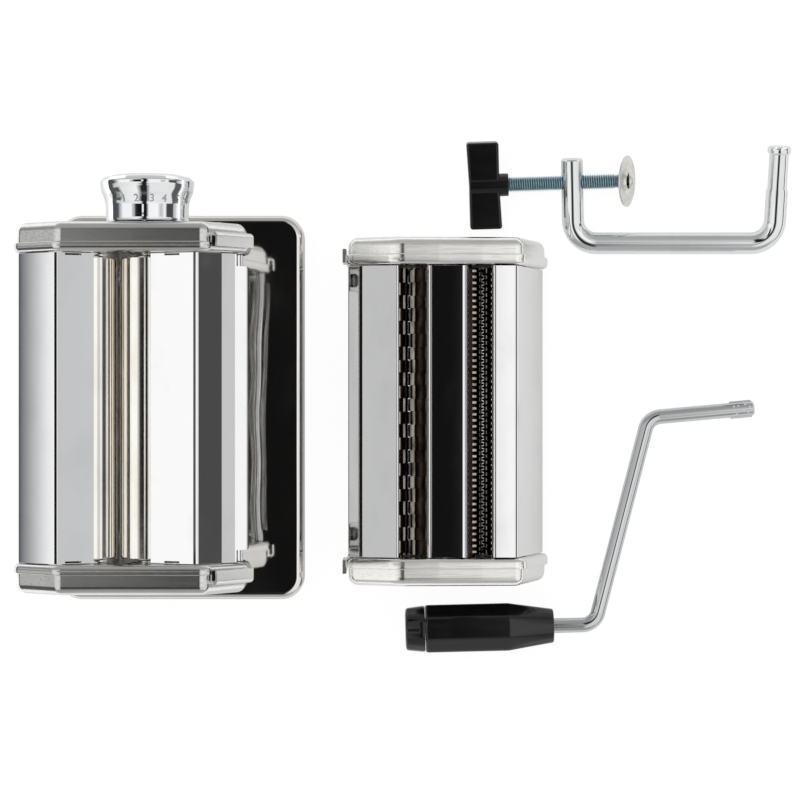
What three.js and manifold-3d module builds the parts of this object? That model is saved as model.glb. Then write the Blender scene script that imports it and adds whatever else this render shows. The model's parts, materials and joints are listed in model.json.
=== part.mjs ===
// A hand-cranked pasta roller machine with its cutter attachment, table clamp and crank.
// Millimetres, +Z up. Rollers lie along Y, the dough feeds down between them, +X is the front.
import * as THREE from "three";
import { mergeVertices } from "three/addons/utils/BufferGeometryUtils.js";
import Module from "manifold-3d";

const wasm = await Module();
wasm.setup();

// ---- sizes shared by all assemblies ----
const seat = 0.3;              // gap between pieces that touch
const runGap = 0.2;            // radial clearance of what turns or slides
const past = 1;                // how far a cutting solid runs beyond the faces it opens
const weld = 0.5;              // overlap of solids that are joined into one piece
const sheet = 1.2;             // pressed steel wall
const lipBend = 1.6;           // bend from a side plate into its lip
const cover = 0.8;             // cover sheet wall
const coverBend = 2.5;         // bends of the cover sheets
const rodRadius = 2.7;         // tie rods
const rivetRadius = 1.8;       // riveted neck at each end of a tie rod
const rivetHead = 1.4;         // its head's height, and how far the head overhangs the neck
const capReach = 15;           // end cap crown from the side plate's inner face
const capEdge = 3.5;           // rounded edge of the crown
const capClearance = 0.3;      // cap skirt inside the lip
const gearWidth = 6.5;
const gearTooth = 1.1;         // tooth tip beyond the pitch circle
const gearFloor = 0.4;         // clearance under a tooth tip
const socketRadius = 4.6;      // crank socket bore
const socketWall = 1.9;
const socketSetback = 0.7;     // socket's end below the cap's inner face
const socketPort = 1;          // port in the cap wider than the socket, all round
const keyHalf = 1.3;           // key slot for the crank's ribs, half its height
const keyClear = 0.4;          // key slot beyond the ribs
const hubLength = 1;           // shoulder between a roller and its shaft
const shaftTail = 2;           // shaft past the side plate

// ---- where the four pieces of the set stand or lie, as [x, y] ----
const machinePlace = [-117.85, -4];
const cutterPlace = [25, -6];
const clampPlace = [94.3, -0.7];   // y from the cutter's far end
const crankPlace = [135.3, 88.4];  // y from the cutter's crank end

// ---- roller machine ----
const rollerWidth = 150;
const rollerEndGap = 2;        // roller end to side plate
const rollerRadius = 13.8;
const rollerHeight = 117;      // axis above the table
const nipX = -22.9;            // middle of the gap between the rollers
const restGap = 1.4;           // gap between the rollers at rest
const adjustOpen = 0.8;        // travel that widens the gap
const adjustClose = 1.2;       // travel that narrows it
const shaftRadius = 5;
const rollerHub = 2.5;         // shoulder beyond the shaft, all round
const socketDepth = 18;
const shaftStep = 3;           // socket's thick part starts this far past the bush
const adjustSetback = 1.5;     // second roller's shaft end behind the driven one's
const rollerGearTeeth = 12;
const lipDepth = 5;            // side plate's lip, outwards

// side plate's outline: X from the middle of the base, Z from the rollers' axis
const topRise = 29;
const topBack = -51;
const topFront = 23;
const backReach = -74;
const backHighRise = 12;
const backLowDrop = 9;
const frontReach = 42.5;
const frontHighRise = 5;
const frontLowDrop = 12;
const footBack = -47;
const footFront = 26;
const footHeight = 40;

const baseWidth = 132;         // along X
const baseLength = 207;        // along Y
const baseTop = 20;
const baseCorner = 12;
const baseEdge = 4;
const baseWall = 1.5;
const footLift = 3;            // rubber feet below the tray's rim
const rubberRadius = 7;
const rubberHeight = 5;
const rubberStem = 4;
const rubberInset = 15;
const socketBore = 6.7;        // clamp socket in the base
const socketBlockHeight = 17;
const socketBlockDepth = 26;
const socketBlockTrim = 1;     // taken off the block's lower side
const screwRadius = 2;
const screwHead = 2.4;
const screwReach = 4;          // screw below the tray's skin
const screwInset = 12;         // screw from the plate's foot corners
const tabDepth = 12;           // foot tab, inwards
const tabInset = 5;

const ridgeDrop = 5;           // cover ridges below the frame's top
const ridgeBackOver = 1.5;     // back ridge behind the plate's top corner
const ridgeFrontInset = 5.5;   // front ridge behind the plate's top corner
const hopperDrop = 14;         // hopper mouth below the frame's top
const coverInset = 1.9;        // cover sheets inside the frame's outline
const coverFoot = [4, 5];      // back cover's lower edge from the plate's waist
const feedWidth = 27;          // feed slot between the two hopper sheets
const feedX = -20.2;           // middle of the feed slot
const exitWidth = 6.9;         // exit strip, seen from above
const exitNotch = 5;           // notch at each end of the exit strip
const exitInset = 0.8;         // exit strip behind the plate's front edge
const exitSlope = [5, 2];      // exit strip's slope ends this far above and below the front corner
const exitSkirt = 11;          // its lower edge below the front corner
const frontRod = [36.3, -5];   // tie rods: x, and z from the rollers' axis
const backRod = [-62, -9];
const tabSlot = [1.2, 5];      // tab slots in the covers: along Y and along X
const tabSlotInset = 1.2;
const scraperGap = 0.5;
const scraperAngle = 30;       // scraper's edge, degrees from straight below the axis
const scraperFoot = [7, 3];    // scraper's bent foot: sideways and down
const scraperLean = 3;
const scraperDrop = 12;

const railStart = 4;
const railEnd = 30.4;
const railGap = 2.4;
const railReach = 6.4;
const railCorner = 3;

const yokeHalf = [10, 12];
const yokeBoss = 7;
const yokePlate = 2.3;
const yokeSlot = 3.4;          // depth of the eccentric's slot
const bushWall = 2.5;
const bushFlange = [2, 1.2];
const eccentric = 1.36;
const eccentricRadius = 5;
const eccentricAngle = 9.5;    // degrees that the knob is short of mid travel at rest
const spindleRadius = 6;
const spindleSquare = 8;
const spindleCollar = [2.5, 2];
const knobGap = 0.5;
const knobRadius = 23.5;
const knobWaist = 20.8;
const knobHeight = 22.6;
const knobRecess = 11;
const knobFloor = 6;
const knobFloorTop = 9;
const knobEdge = 2;
const knobRim = 7;             // full width this far from the outer face
const knobTaper = 7;           // height of the hollow taper between rim and waist
const knobChamfer = 1.2;
const springHeadLow = 18.7;    // spindle's head above the knob's lower face
const springHead = [0.9, 1.5];
const indexCircle = 17;
const indexStep = 19;          // degrees between thickness settings
const indexHole = 1.8;
const indexPin = 1.3;
const indexTip = 0.25;
const springRadius = 7.6;
const springWire = 0.8;
const springTurns = 4;

// ---- cutter attachment, Z from the table ----
const cutterLip = 6;
const cutterHeight = 58;
const cutterBack = -54;
const cutterBackHigh = 46;
const cutterTopBack = -27;
const cutterTopFront = 40.5;
const cutterTopDrop = 2.8;     // fall of the top towards the front
const cutterFront = 55.5;
const cutterFrontLow = 10;
const cutterFootFront = 50;
const cutterAxis = 38;
const cutterRadius = 10;
const cutterCore = 8.6;
const cutterSpacing = 19;
const cutterGearTeeth = 12;
const widePairX = -20.2;
const finePairX = 19;
const wideStrips = 22;
const fineStrips = 95;
const discClearance = 0.15;
const cutterShaft = 4.5;
const cutterSocketDepth = 14;
const shaftEndGap = 2.5;       // shaft end below the cap's inner face
const gearStandoff = 1.6;      // gear from the side plate
const cutterRods = [[-45, 14], [41, 14]];
const coverTop = 55.4;
const coverLipRise = 1.6;      // covers' inner lips above the rollers
const coverCrease = 1.6;
const wideMouth = [-5.2, 9.2];   // covers' lips beside the wide pair, from its middle
const fineMouth = [-8.4, 4.8];
const leftCoverFoot = 2.5;
const leftCoverHip = 42;
const leftCoverShoulder = [8.6, 50.2];   // x from the back, z
const rightCoverTop = 55;
const rightCoverRidge = [4, 54.2];       // x from the top's front corner, z
const rightCoverFoot = [3.3, 6];         // x from the front, z
const combTop = 9.4;           // comb's blades below the axis
const combDrop = 24;
const combHalf = 4.4;
const combLean = 0.3;
const combSheet = 1;
const combEnd = 3;
const combBar = 5;
const lugProud = 1.6;          // hanging lug beyond the plate's back edge
const lugSpan = [12, 36];
const lugReach = 9.5;

// ---- table clamp ----
const clampRadius = 5.9;
const clampSpan = 109;
const clampSplay = 1.8;        // degrees that each leg leans outwards
const clampBend = 13;
const clampLean = 11.6;        // degrees that the clamp leans as it lies
const screwLeg = 46;
const hookLeg = 30.2;
const neckRadius = 5.2;
const neckLength = 18.6;
const beadRadius = 6.4;
const beadLength = 4;
const threadHeight = 33.1;
const threadRadius = 4;
const wingHubEnd = -34.6;      // along the screw, from the leg's axis
const wingHubLength = 3.9;
const wingHubRadius = 6.15;
const wingLength = 18.4;
const wingSpan = 47;
const wingThickness = 10;
const wingFlare = 2.5;         // degrees
const wingSkew = 1;
const wingCorner = 1.4;
const wingHollow = 30;         // radius of the blend in the middle
const screwBuried = 6;         // screw's end inside the knob, from its outer face
const pivotReach = 27;
const padRadius = 13.85;
const padTilt = 17;
const padWall = 1.1;
const padRim = 1.2;
const padCup = [40, 78];       // degrees of the pad's spherical seat
const padHead = 55;            // degrees of the rivet head's spherical face
const rivetBore = 1.8;
const rivetShank = 1.5;
const rivetDepth = 3;          // rivet's end inside the screw, from the pivot
const rivetDome = 3.6;

// ---- hand crank ----
const crankRadius = 4;
const crankShaft = 57.6;
const crankShaftAngle = 5.2;   // directions of the three runs as it lies, in degrees
const crankArm = 116.2;
const crankArmAngle = 255.1;
const crankGripRun = 22.4;
const crankGripAngle = 181.4;
const crankBend = 9;
const crankFlat = 0.2;         // grip flat above the table when the crank lies
const crankHead = 6;           // head that holds the grip on
const crankHeadLength = 2.5;
const crankHeadClear = 0.6;
const rodPastGrip = 2;         // rod's end past the joint of grip and end cap
const gripLength = 80.2;
const gripAcross = 12.8;
const gripNose = 9.25;
const gripNoseEdge = 1;
const gripTaper = 24.5;
const gripCapLength = 11;
const gripCapEnd = 11.5;
const gripCapEdge = 1.2;
const gripSeam = 0.8;          // groove beside the end cap
const driveRib = 0.7;
const driveRibHalf = 1;
const driveRibLength = 13;

// ---- materials ----
const metal = (color, roughness) =>
  new THREE.MeshStandardMaterial({ color, roughness, metalness: 1 });
const plastic = (color, roughness) =>
  new THREE.MeshStandardMaterial({ color, roughness, metalness: 0 });
const brushed = metal(0xb9b9b7, 0.35);
const mirror = metal(0xe4e6e8, 0.06);
const nickel = metal(0xb9ae99, 0.2);
const chrome = metal(0xdadcde, 0.08);
const zinc = metal(0x8fa9b8, 0.3);
const padZinc = metal(0xb5b0a6, 0.4);
const steel = metal(0x9a9a98, 0.4);
const mattBlack = plastic(0x161616, 0.55);
const glossBlack = plastic(0x0d0d0f, 0.15);
const rubber = plastic(0x1b1b1b, 0.8);

// ---- outlines ----
const V2 = (x, y) => new THREE.Vector2(x, y);
const turn = (a, b) => a.x * b.y - a.y * b.x;

// Points of a path whose corners are [x, y, radius]; a closed path rounds every corner.
function rounded(corners, closed = true, steps = 2) {
  const n = corners.length;
  return corners.flatMap(([x, y, radius = 0], i) => {
    const here = V2(x, y);
    if ((!closed && (i === 0 || i === n - 1)) || radius === 0) return [here];
    const before = corners[(i + n - 1) % n];
    const after = corners[(i + 1) % n];
    const back = V2(before[0], before[1]).sub(here).normalize();
    const on = V2(after[0], after[1]).sub(here).normalize();
    const half = Math.acos(THREE.MathUtils.clamp(back.dot(on), -1, 1)) / 2;
    const centre = back.clone().add(on).setLength(radius / Math.sin(half)).add(here);
    const from = back.clone().multiplyScalar(radius / Math.tan(half)).add(here).sub(centre);
    const sweep = Math.sign(turn(on, back)) * (Math.PI - 2 * half);
    return Array.from({ length: steps + 1 }, (_, k) =>
      from.clone().rotateAround(V2(0, 0), (sweep * k) / steps).add(centre));
  });
}

// A counter-clockwise outline moved inwards by d, corner radii following.
function inset(corners, d) {
  const n = corners.length;
  return corners.map(([x, y, radius = 0], i) => {
    const here = V2(x, y);
    const before = corners[(i + n - 1) % n];
    const after = corners[(i + 1) % n];
    const come = here.clone().sub(V2(before[0], before[1])).normalize();
    const go = V2(after[0], after[1]).sub(here).normalize();
    const a = V2(-come.y, come.x);
    const b = V2(-go.y, go.x);
    const move = a.clone().add(b).multiplyScalar(d / (1 + a.dot(b)));
    const r = radius - d * Math.sign(turn(come, go));
    return [x + move.x, y + move.y, Math.max(r, 0.3)];
  });
}

const rectangle = (x0, y0, x1, y1, r = 0) => [[x0, y0, r], [x1, y0, r], [x1, y1, r], [x0, y1, r]];
const circle = (x, y, radius, sides = 16) =>
  Array.from({ length: sides }, (_, i) => {
    const a = (2 * Math.PI * (i + 0.5)) / sides;
    return V2(x + radius * Math.cos(a), y + radius * Math.sin(a));
  });

// The section of a bent sheet: an open path of [x, y, bend radius], thickened about its middle.
function bent(path, wall, steps = 2) {
  const line = rounded(path, false, steps);
  const shift = line.map((p, i) => {
    const come = (i ? p.clone().sub(line[i - 1]) : line[1].clone().sub(p)).normalize();
    const go = (i < line.length - 1 ? line[i + 1].clone().sub(p) : come.clone()).normalize();
    const a = V2(-come.y, come.x);
    const b = V2(-go.y, go.x);
    return a.add(b).multiplyScalar(wall / 2 / (1 + a.dot(b) - b.dot(b) || 1));
  });
  const left = line.map((p, i) => p.clone().add(shift[i]));
  const right = line.map((p, i) => p.clone().sub(shift[i])).reverse();
  const ring = [...left, ...right];
  return THREE.ShapeUtils.isClockWise(ring) ? ring.reverse() : ring;
}

function gearOutline(teeth, root, tip, x, y, phase = 0, rootShare = 0.29, tipShare = 0.1) {
  const pitch = (2 * Math.PI) / teeth;
  const at = (radius, angle) => V2(x + radius * Math.cos(angle), y + radius * Math.sin(angle));
  return Array.from({ length: teeth }, (_, i) => {
    const a = (i + phase) * pitch;
    return [at(root, a - rootShare * pitch), at(tip, a - tipShare * pitch),
      at(tip, a + tipShare * pitch), at(root, a + rootShare * pitch)];
  }).flat();
}

// ---- solids ----
const X = new THREE.Vector3(1, 0, 0);
const Y = new THREE.Vector3(0, 1, 0);
const Z = new THREE.Vector3(0, 0, 1);
const frameOf = (u, v, d, origin = new THREE.Vector3()) =>
  new THREE.Matrix4().makeBasis(u, v, d).setPosition(origin);
const alongX = frameOf(Y, Z, X);
const alongY = frameOf(X, Z, Y);
const alongMinusY = frameOf(X, Z, Y.clone().negate());
const alongZ = frameOf(X, Y, Z);

// A closed geometry, placed by a matrix, as a solid; a mirroring matrix turns its faces round.
function solid(geometry, matrix = alongZ) {
  const bare = geometry.clone();
  for (const name of Object.keys(bare.attributes)) if (name !== "position") bare.deleteAttribute(name);
  const merged = mergeVertices(bare.applyMatrix4(matrix), 1e-4);
  const flip = matrix.determinant() < 0;
  const triVerts = [];
  const index = merged.index.array;
  for (let i = 0; i < index.length; i += 3) {
    const [a, b, c] = [index[i], index[i + 1], index[i + 2]];
    if (a !== b && b !== c && c !== a) triVerts.push(a, flip ? c : b, flip ? b : c);
  }
  return new wasm.Manifold(new wasm.Mesh({
    numProp: 3,
    vertProperties: merged.attributes.position.array,
    triVerts: new Uint32Array(triVerts),
  }));
}

// An outline pushed along a frame's third axis.
function prism(outline, from, to, matrix = alongZ) {
  const points = THREE.ShapeUtils.isClockWise(outline) ? outline.slice().reverse() : outline;
  const geometry = new THREE.ExtrudeGeometry(new THREE.Shape(points), {
    depth: to - from,
    bevelEnabled: false,
  });
  return solid(geometry.translate(0, 0, from), matrix);
}
const block = (x, y, z) =>
  prism(rounded(rectangle(x[0], y[0], x[1], y[1])), z[0], z[1]);
const joined = (first, ...rest) => rest.reduce((whole, part) => whole.add(part), first);
const cut = (first, ...rest) => rest.reduce((whole, part) => whole.subtract(part), first);

// A skin through rings of equally many points, from a face that looks along +depth to one that looks back.
function skin(rings, matrix) {
  const n = rings[0].points.length;
  const vertices = rings.flatMap(({ points, depth }) => points.flatMap((p) => [p.x, p.y, depth]));
  const faces = [];
  for (let k = 0; k + 1 < rings.length; k++)
    for (let i = 0; i < n; i++) {
      const a = k * n + i;
      const b = k * n + ((i + 1) % n);
      faces.push(a, a + n, b, b, a + n, b + n);
    }
  for (const [a, b, c] of THREE.ShapeUtils.triangulateShape(rings[0].points, [])) faces.push(a, b, c);
  const last = (rings.length - 1) * n;
  for (const [a, b, c] of THREE.ShapeUtils.triangulateShape(rings.at(-1).points, []))
    faces.push(last + a, last + c, last + b);
  const geometry = new THREE.BufferGeometry()
    .setAttribute("position", new THREE.Float32BufferAttribute(vertices, 3))
    .setIndex(faces);
  return solid(geometry, matrix);
}

// An open-backed pressing: a crown at depth `to` with a rounded edge, and a skirt down to `from`.
function pressing(corners, from, to, wall, edge, matrix, steps = 2) {
  const arc = Array.from({ length: steps + 1 }, (_, k) => (k / steps) * (Math.PI / 2));
  const ring = (d, depth) => ({ points: rounded(inset(corners, d)), depth });
  const inner = Math.max(edge - wall, 0.2);
  const outside = arc.map((a) => ring(edge * (1 - Math.sin(a)), to - edge * (1 - Math.cos(a))));
  const inside = arc.toReversed().map((a) =>
    ring(wall + inner * (1 - Math.sin(a)), to - wall - inner * (1 - Math.cos(a))));
  return skin([...outside, ring(0, from), ring(wall, from), ...inside], matrix);
}

// A turned piece about Y at (x, z), from [radius, y] points that start and end on the axis.
function turned(profile, x = 0, z = 0, sides = 20) {
  const geometry = new THREE.LatheGeometry(profile.map(([r, y]) => V2(r, y)), sides);
  return solid(geometry.translate(x, 0, z));
}

// Round stock along a path of straight runs joined by bends.
function tube(points, bend, radius, step, sides = 12) {
  const path = new THREE.CurvePath();
  let last = points[0];
  points.slice(1, -1).forEach((corner, i) => {
    const back = points[i].clone().sub(corner).normalize();
    const on = points[i + 2].clone().sub(corner).normalize();
    const cutBack = bend / Math.tan(Math.acos(back.dot(on)) / 2);
    const start = corner.clone().addScaledVector(back, cutBack);
    const end = corner.clone().addScaledVector(on, cutBack);
    path.add(new THREE.LineCurve3(last, start));
    path.add(new THREE.QuadraticBezierCurve3(start, corner, end));
    last = end;
  });
  path.add(new THREE.LineCurve3(last, points.at(-1)));
  const section = new THREE.Shape(circle(0, 0, radius, sides));
  const steps = Math.round(path.getLength() / step);
  return solid(new THREE.ExtrudeGeometry(section, { steps, extrudePath: path, bevelEnabled: false }));
}

function geometryOf(shape) {
  const { numProp, vertProperties, triVerts } = shape.getMesh();
  const positions = new Float32Array((vertProperties.length / numProp) * 3);
  for (let i = 0; i < positions.length / 3; i++)
    positions.set(vertProperties.subarray(i * numProp, i * numProp + 3), i * 3);
  const geometry = new THREE.BufferGeometry()
    .setAttribute("position", new THREE.BufferAttribute(positions, 3))
    .setIndex(new THREE.BufferAttribute(triVerts, 1));
  geometry.computeVertexNormals();
  return geometry;
}

function add(group, name, shape, material) {
  const mesh = new THREE.Mesh(geometryOf(shape), material);
  mesh.name = name;
  group.add(mesh);
}

// Two groups, the second a mirror image across the mid-plane.
function pairOfEnds(group) {
  const knobEnd = new THREE.Group();
  const crankEnd = new THREE.Group();
  crankEnd.scale.y = -1;
  group.add(knobEnd, crankEnd);
  return { knob: knobEnd, crank: crankEnd };
}

// ---- values worked out from the sizes ----
const plateIn = rollerWidth / 2 + rollerEndGap;      // side plate, inner face
const plateOut = plateIn + sheet;
const capCrown = plateIn + capReach;
const capCrownIn = capCrown - sheet;
const spanEnd = plateIn - seat;                      // what lies between the side plates
const boltedFace = plateOut + seat;                  // what lies against a plate's outer face
const driveX = nipX - restGap / 2 - rollerRadius;
const adjustX = nipX + restGap / 2 + rollerRadius;
const spindleX = adjustX - (adjustClose - adjustOpen) / 2;
const frameTop = rollerHeight + topRise;
const backHigh = rollerHeight + backHighRise;
const frontHigh = rollerHeight + frontHighRise;
const frameFoot = baseTop + seat;
const capInset = sheet + capClearance;
const socketShaft = socketRadius + socketWall;
const bodyLow = baseTop - baseWall - seat;           // just under the tray's skin

const frameOutline = [
  [footBack, frameFoot, 3], [footFront, frameFoot, 3], [footFront, footHeight, 10],
  [frontReach, rollerHeight - frontLowDrop, 5], [frontReach, frontHigh, 5],
  [topFront, frameTop, 8], [topBack, frameTop, 8],
  [backReach, backHigh, 6], [backReach, rollerHeight - backLowDrop, 6],
  [footBack, footHeight, 10],
];
const cutterOutline = [
  [cutterBack, 0, 6], [cutterFootFront, 0, 4], [cutterFront, cutterFrontLow, 5],
  [cutterTopFront, cutterHeight - cutterTopDrop, 7], [cutterTopBack, cutterHeight, 20],
  [cutterBack, cutterBackHigh, 7.5],
];
const cutterAxes = [widePairX, finePairX].flatMap((x) => [-1, 1].map((s) => x + (s * cutterSpacing) / 2));

// ---- shapes that more than one assembly uses ----
// A hole or a boss about Y, from y0 to y1.
const round = (x, z, radius, y0, y1, sides = 16) => prism(circle(x, z, radius, sides), y0, y1, alongY);

// The bore and the key slot that take the crank, cut into the shaft's end at y = end.
function crankSocket(x, z, end, depth) {
  const key = socketRadius + driveRib + keyClear;
  return [round(x, z, socketRadius, end - past, end + depth, 20),
    block([x - key, x + key], [end - past, end + depth], [z - keyHalf, z + keyHalf])];
}

// A tie rod about Y with a riveted head beyond each side plate.
function tieRod(x, z) {
  const head = rivetRadius + rivetHead;
  const half = [[0, -boltedFace - rivetHead], [head, -boltedFace - rivetHead], [head, -boltedFace],
    [rivetRadius, -boltedFace], [rivetRadius, -spanEnd], [rodRadius, -spanEnd]];
  const other = half.map(([r, y]) => [r, -y]).reverse();
  return turned([...half, ...other], x, z, 8);
}

// A pair of meshing gears between y0 and y1, on shafts of two radii.
function gearPair(group, names, teeth, [xa, xb], z, shafts, [y0, y1], closing) {
  const spacing = xb - xa;
  const tip = spacing / 2 + gearTooth;
  const root = spacing - closing - tip - gearFloor;
  names.forEach((name, i) => {
    const x = [xa, xb][i];
    const blank = prism(gearOutline(teeth, root, tip, x, z, i / 2), y0, y1, alongY);
    add(group, name, cut(blank, round(x, z, shafts[i] + seat, y0 - past, y1 + past, 20)), steel);
  });
}

// ---- roller machine ----
function buildBase(group) {
  const outline = rectangle(-baseWidth / 2, -baseLength / 2, baseWidth / 2, baseLength / 2, baseCorner);
  const tray = pressing(outline, footLift, baseTop, baseWall, baseEdge, alongZ);
  const boreZ = bodyLow - socketBlockHeight / 2;
  const wallX = -baseWidth / 2;
  const port = prism(circle(0, boreZ, socketBore + runGap, 20), wallX - past, wallX + baseWall + past,
    alongX);
  const screwHoles = screwPlaces().map(([x, y]) =>
    prism(circle(x, y, screwRadius + seat, 10), footLift, baseTop + past));
  add(group, "base_tray", cut(tray, port, ...screwHoles), mirror);

  const inside = wallX + baseWall + seat;
  const outEnd = inside + socketBlockDepth;
  const half = socketBlockHeight / 2;
  const low = boreZ - half + socketBlockTrim;
  const chamfer = baseEdge - baseWall;
  const hold = prism(rounded([[inside, low], [outEnd, low], [outEnd, bodyLow],
    [inside + chamfer, bodyLow], [inside, bodyLow - chamfer]]), -half, half, alongY);
  const bore = prism(circle(0, boreZ, socketBore, 20), inside - past, outEnd + past, alongX);
  add(group, "clamp_socket", cut(hold, bore), steel);

  const footX = baseWidth / 2 - rubberInset;
  const footY = baseLength / 2 - rubberInset;
  [[-1, -1], [1, -1], [1, 1], [-1, 1]].forEach(([sx, sy], i) => {
    const pad = prism(circle(sx * footX, sy * footY, rubberRadius, 12), 0, rubberHeight);
    const stem = prism(circle(sx * footX, sy * footY, rubberStem, 8), 0, bodyLow);
    add(group, `rubber_foot_${i + 1}`, joined(pad, stem), rubber);
  });
}

function screwPlaces() {
  const y = plateIn - tabDepth / 2;
  return [footBack + screwInset, footFront - screwInset].flatMap((x) => [[x, -y], [x, y]]);
}

function buildScrews(group) {
  const tabTop = frameFoot + sheet + seat;
  screwPlaces().forEach(([x, y], i) => {
    const head = prism(circle(x, y, 2 * screwRadius, 8), tabTop, tabTop + screwHead);
    const shank = prism(circle(x, y, screwRadius, 8), baseTop - baseWall - screwReach, tabTop + weld);
    add(group, `base_screw_${i + 1}`, joined(head, shank), steel);
  });
}

function buildSideFrame(group, name) {
  const plate = pressing(frameOutline, -plateIn - lipDepth, -plateIn, sheet, lipBend, alongMinusY, 1);
  const tab = block([footBack + tabInset, footFront - tabInset], [plateIn - tabDepth, plateIn + weld],
    [frameFoot, frameFoot + sheet]);
  const hole = (x, z, r) => round(x, z, r, plateIn - past, plateOut + past);
  const slotX = yokeBoss + Math.max(adjustOpen, adjustClose) + runGap;
  const slotZ = yokeBoss + runGap;
  const slot = block([adjustX - slotX, adjustX + slotX], [plateIn - past, plateOut + past],
    [rollerHeight - slotZ, rollerHeight + slotZ]);
  const screwHoles = screwPlaces().filter(([, y]) => y > 0).map(([x, y]) =>
    prism(circle(x, y, screwRadius + seat, 10), frameFoot - past, frameFoot + sheet + past));
  const rods = [frontRod, backRod].map(([x, z]) => hole(x, rollerHeight + z, rivetRadius + seat));
  const bush = hole(driveX, rollerHeight, shaftRadius + bushWall + seat);
  add(group, name, cut(joined(plate, tab), bush, slot, ...rods, ...screwHoles), brushed);
}

const capShell = (corners) =>
  pressing(inset(corners, capInset), boltedFace, capCrown, sheet, capEdge, alongY);

function buildEndCaps(ends) {
  const hole = (x, z, r, sides) => round(x, z, r, capCrownIn - past, capCrown + past, sides);
  const index = Array.from({ length: 6 }, (_, i) => {
    const a = THREE.MathUtils.degToRad((i - 2) * indexStep);
    return hole(spindleX + indexCircle * Math.sin(a), rollerHeight + indexCircle * Math.cos(a), indexHole, 8);
  });
  const spindle = hole(spindleX, rollerHeight, spindleRadius + runGap);
  const socket = hole(driveX, rollerHeight, socketShaft + socketPort);
  add(ends.knob, "end_cap_knob", cut(capShell(frameOutline), spindle, ...index), brushed);
  add(ends.crank, "end_cap_crank", cut(capShell(frameOutline), socket), brushed);
}

function buildCovers(group) {
  const shoulders = inset(frameOutline, coverInset + cover / 2);
  const backShoulder = shoulders[7];
  const backHip = shoulders[8];
  const ridge = frameTop - ridgeDrop;
  const mouth = frameTop - hopperDrop;
  const ridgeBack = topBack - ridgeBackOver;
  const ridgeFront = topFront - ridgeFrontInset;
  const lipBack = feedX - feedWidth / 2;
  const lipFront = feedX + feedWidth / 2;
  const between = (path) => prism(bent(path, cover), -spanEnd, spanEnd, alongY);
  const tabSlots = (x0, x1) => [-1, 1].map((s) => {
    const x = (x0 + x1) / 2;
    const y = s * (spanEnd - tabSlotInset);
    return block([x - tabSlot[1] / 2, x + tabSlot[1] / 2], [y - tabSlot[0] / 2, y + tabSlot[0] / 2],
      [mouth, ridge]);
  });
  const back = between([
    [lipBack, mouth, 0], [ridgeBack, ridge, coverBend], [backShoulder[0], backShoulder[1], coverBend],
    [backHip[0], backHip[1], coverBend], [footBack + coverFoot[0], footHeight + coverFoot[1], 0],
  ]);
  add(group, "back_cover", cut(back, ...tabSlots(lipBack, ridgeBack)), mirror);

  const exitTop = frontHigh + exitSlope[0];
  const exitBack = frontReach - exitWidth;
  const exitX = frontReach - exitInset - cover / 2;
  const front = between([
    [lipFront, mouth, 0], [ridgeFront, ridge, coverBend], [exitBack, exitTop, coverBend],
    [exitX, frontHigh - exitSlope[1], coverBend], [exitX, frontHigh - exitSkirt, 0],
  ]);
  const notches = [-spanEnd, spanEnd - exitNotch].map((y) =>
    block([exitBack + past, frontReach + past], [y - past, y + exitNotch + past],
      [frontHigh - exitSkirt - past, exitTop + past]));
  add(group, "front_hopper", cut(front, ...notches, ...tabSlots(lipFront, ridgeFront)), mirror);
}

function buildRodsAndScrapers(group) {
  add(group, "tie_rod_front", tieRod(frontRod[0], rollerHeight + frontRod[1]), chrome);
  add(group, "tie_rod_back", tieRod(backRod[0], rollerHeight + backRod[1]), chrome);
  const angle = THREE.MathUtils.degToRad(scraperAngle);
  const blade = (x, side, clear) => {
    const reach = rollerRadius + cover / 2 + clear;
    const tipX = x + side * reach * Math.sin(angle);
    const tipZ = rollerHeight - reach * Math.cos(angle);
    const heelX = tipX + side * scraperLean;
    const heelZ = tipZ - scraperDrop;
    const path = [[tipX, tipZ, 0], [heelX, heelZ, coverBend],
      [heelX + side * scraperFoot[0], heelZ - scraperFoot[1], 0]];
    return prism(bent(path, cover), -spanEnd, spanEnd, alongY);
  };
  add(group, "scraper_back", blade(driveX, -1, scraperGap), steel);
  add(group, "scraper_front", blade(adjustX, 1, scraperGap + adjustOpen), steel);
}

function buildRail(group, name) {
  const slope = new THREE.Vector3(frontReach - topFront, 0, frontHigh - frameTop).normalize();
  const out = new THREE.Vector3(-slope.z, 0, slope.x);
  const corner = new THREE.Vector3(topFront, 0, frameTop);
  const low = -capInset + seat + sheet / 2;
  const high = low + sheet + railGap;
  const inY = plateIn + lipDepth + seat;
  const outY = inY + railReach - sheet / 2;
  const fold = (high - low) / 2 - 0.01;              // just short of a half circle
  const path = [[inY, low, 0], [outY, low, fold], [outY, high, fold], [inY, high, 0]];
  const channel = prism(bent(path, sheet, 4), railStart, railEnd, frameOf(Y, out, slope, corner));
  const corners = rectangle(railStart - 2 * railCorner, inY - 2 * railCorner, railEnd, outY + sheet,
    railCorner);
  const trim = prism(rounded(corners), low - sheet, high + sheet, frameOf(slope, Y, out, corner));
  add(group, name, channel.intersect(trim), brushed);
}

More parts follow.
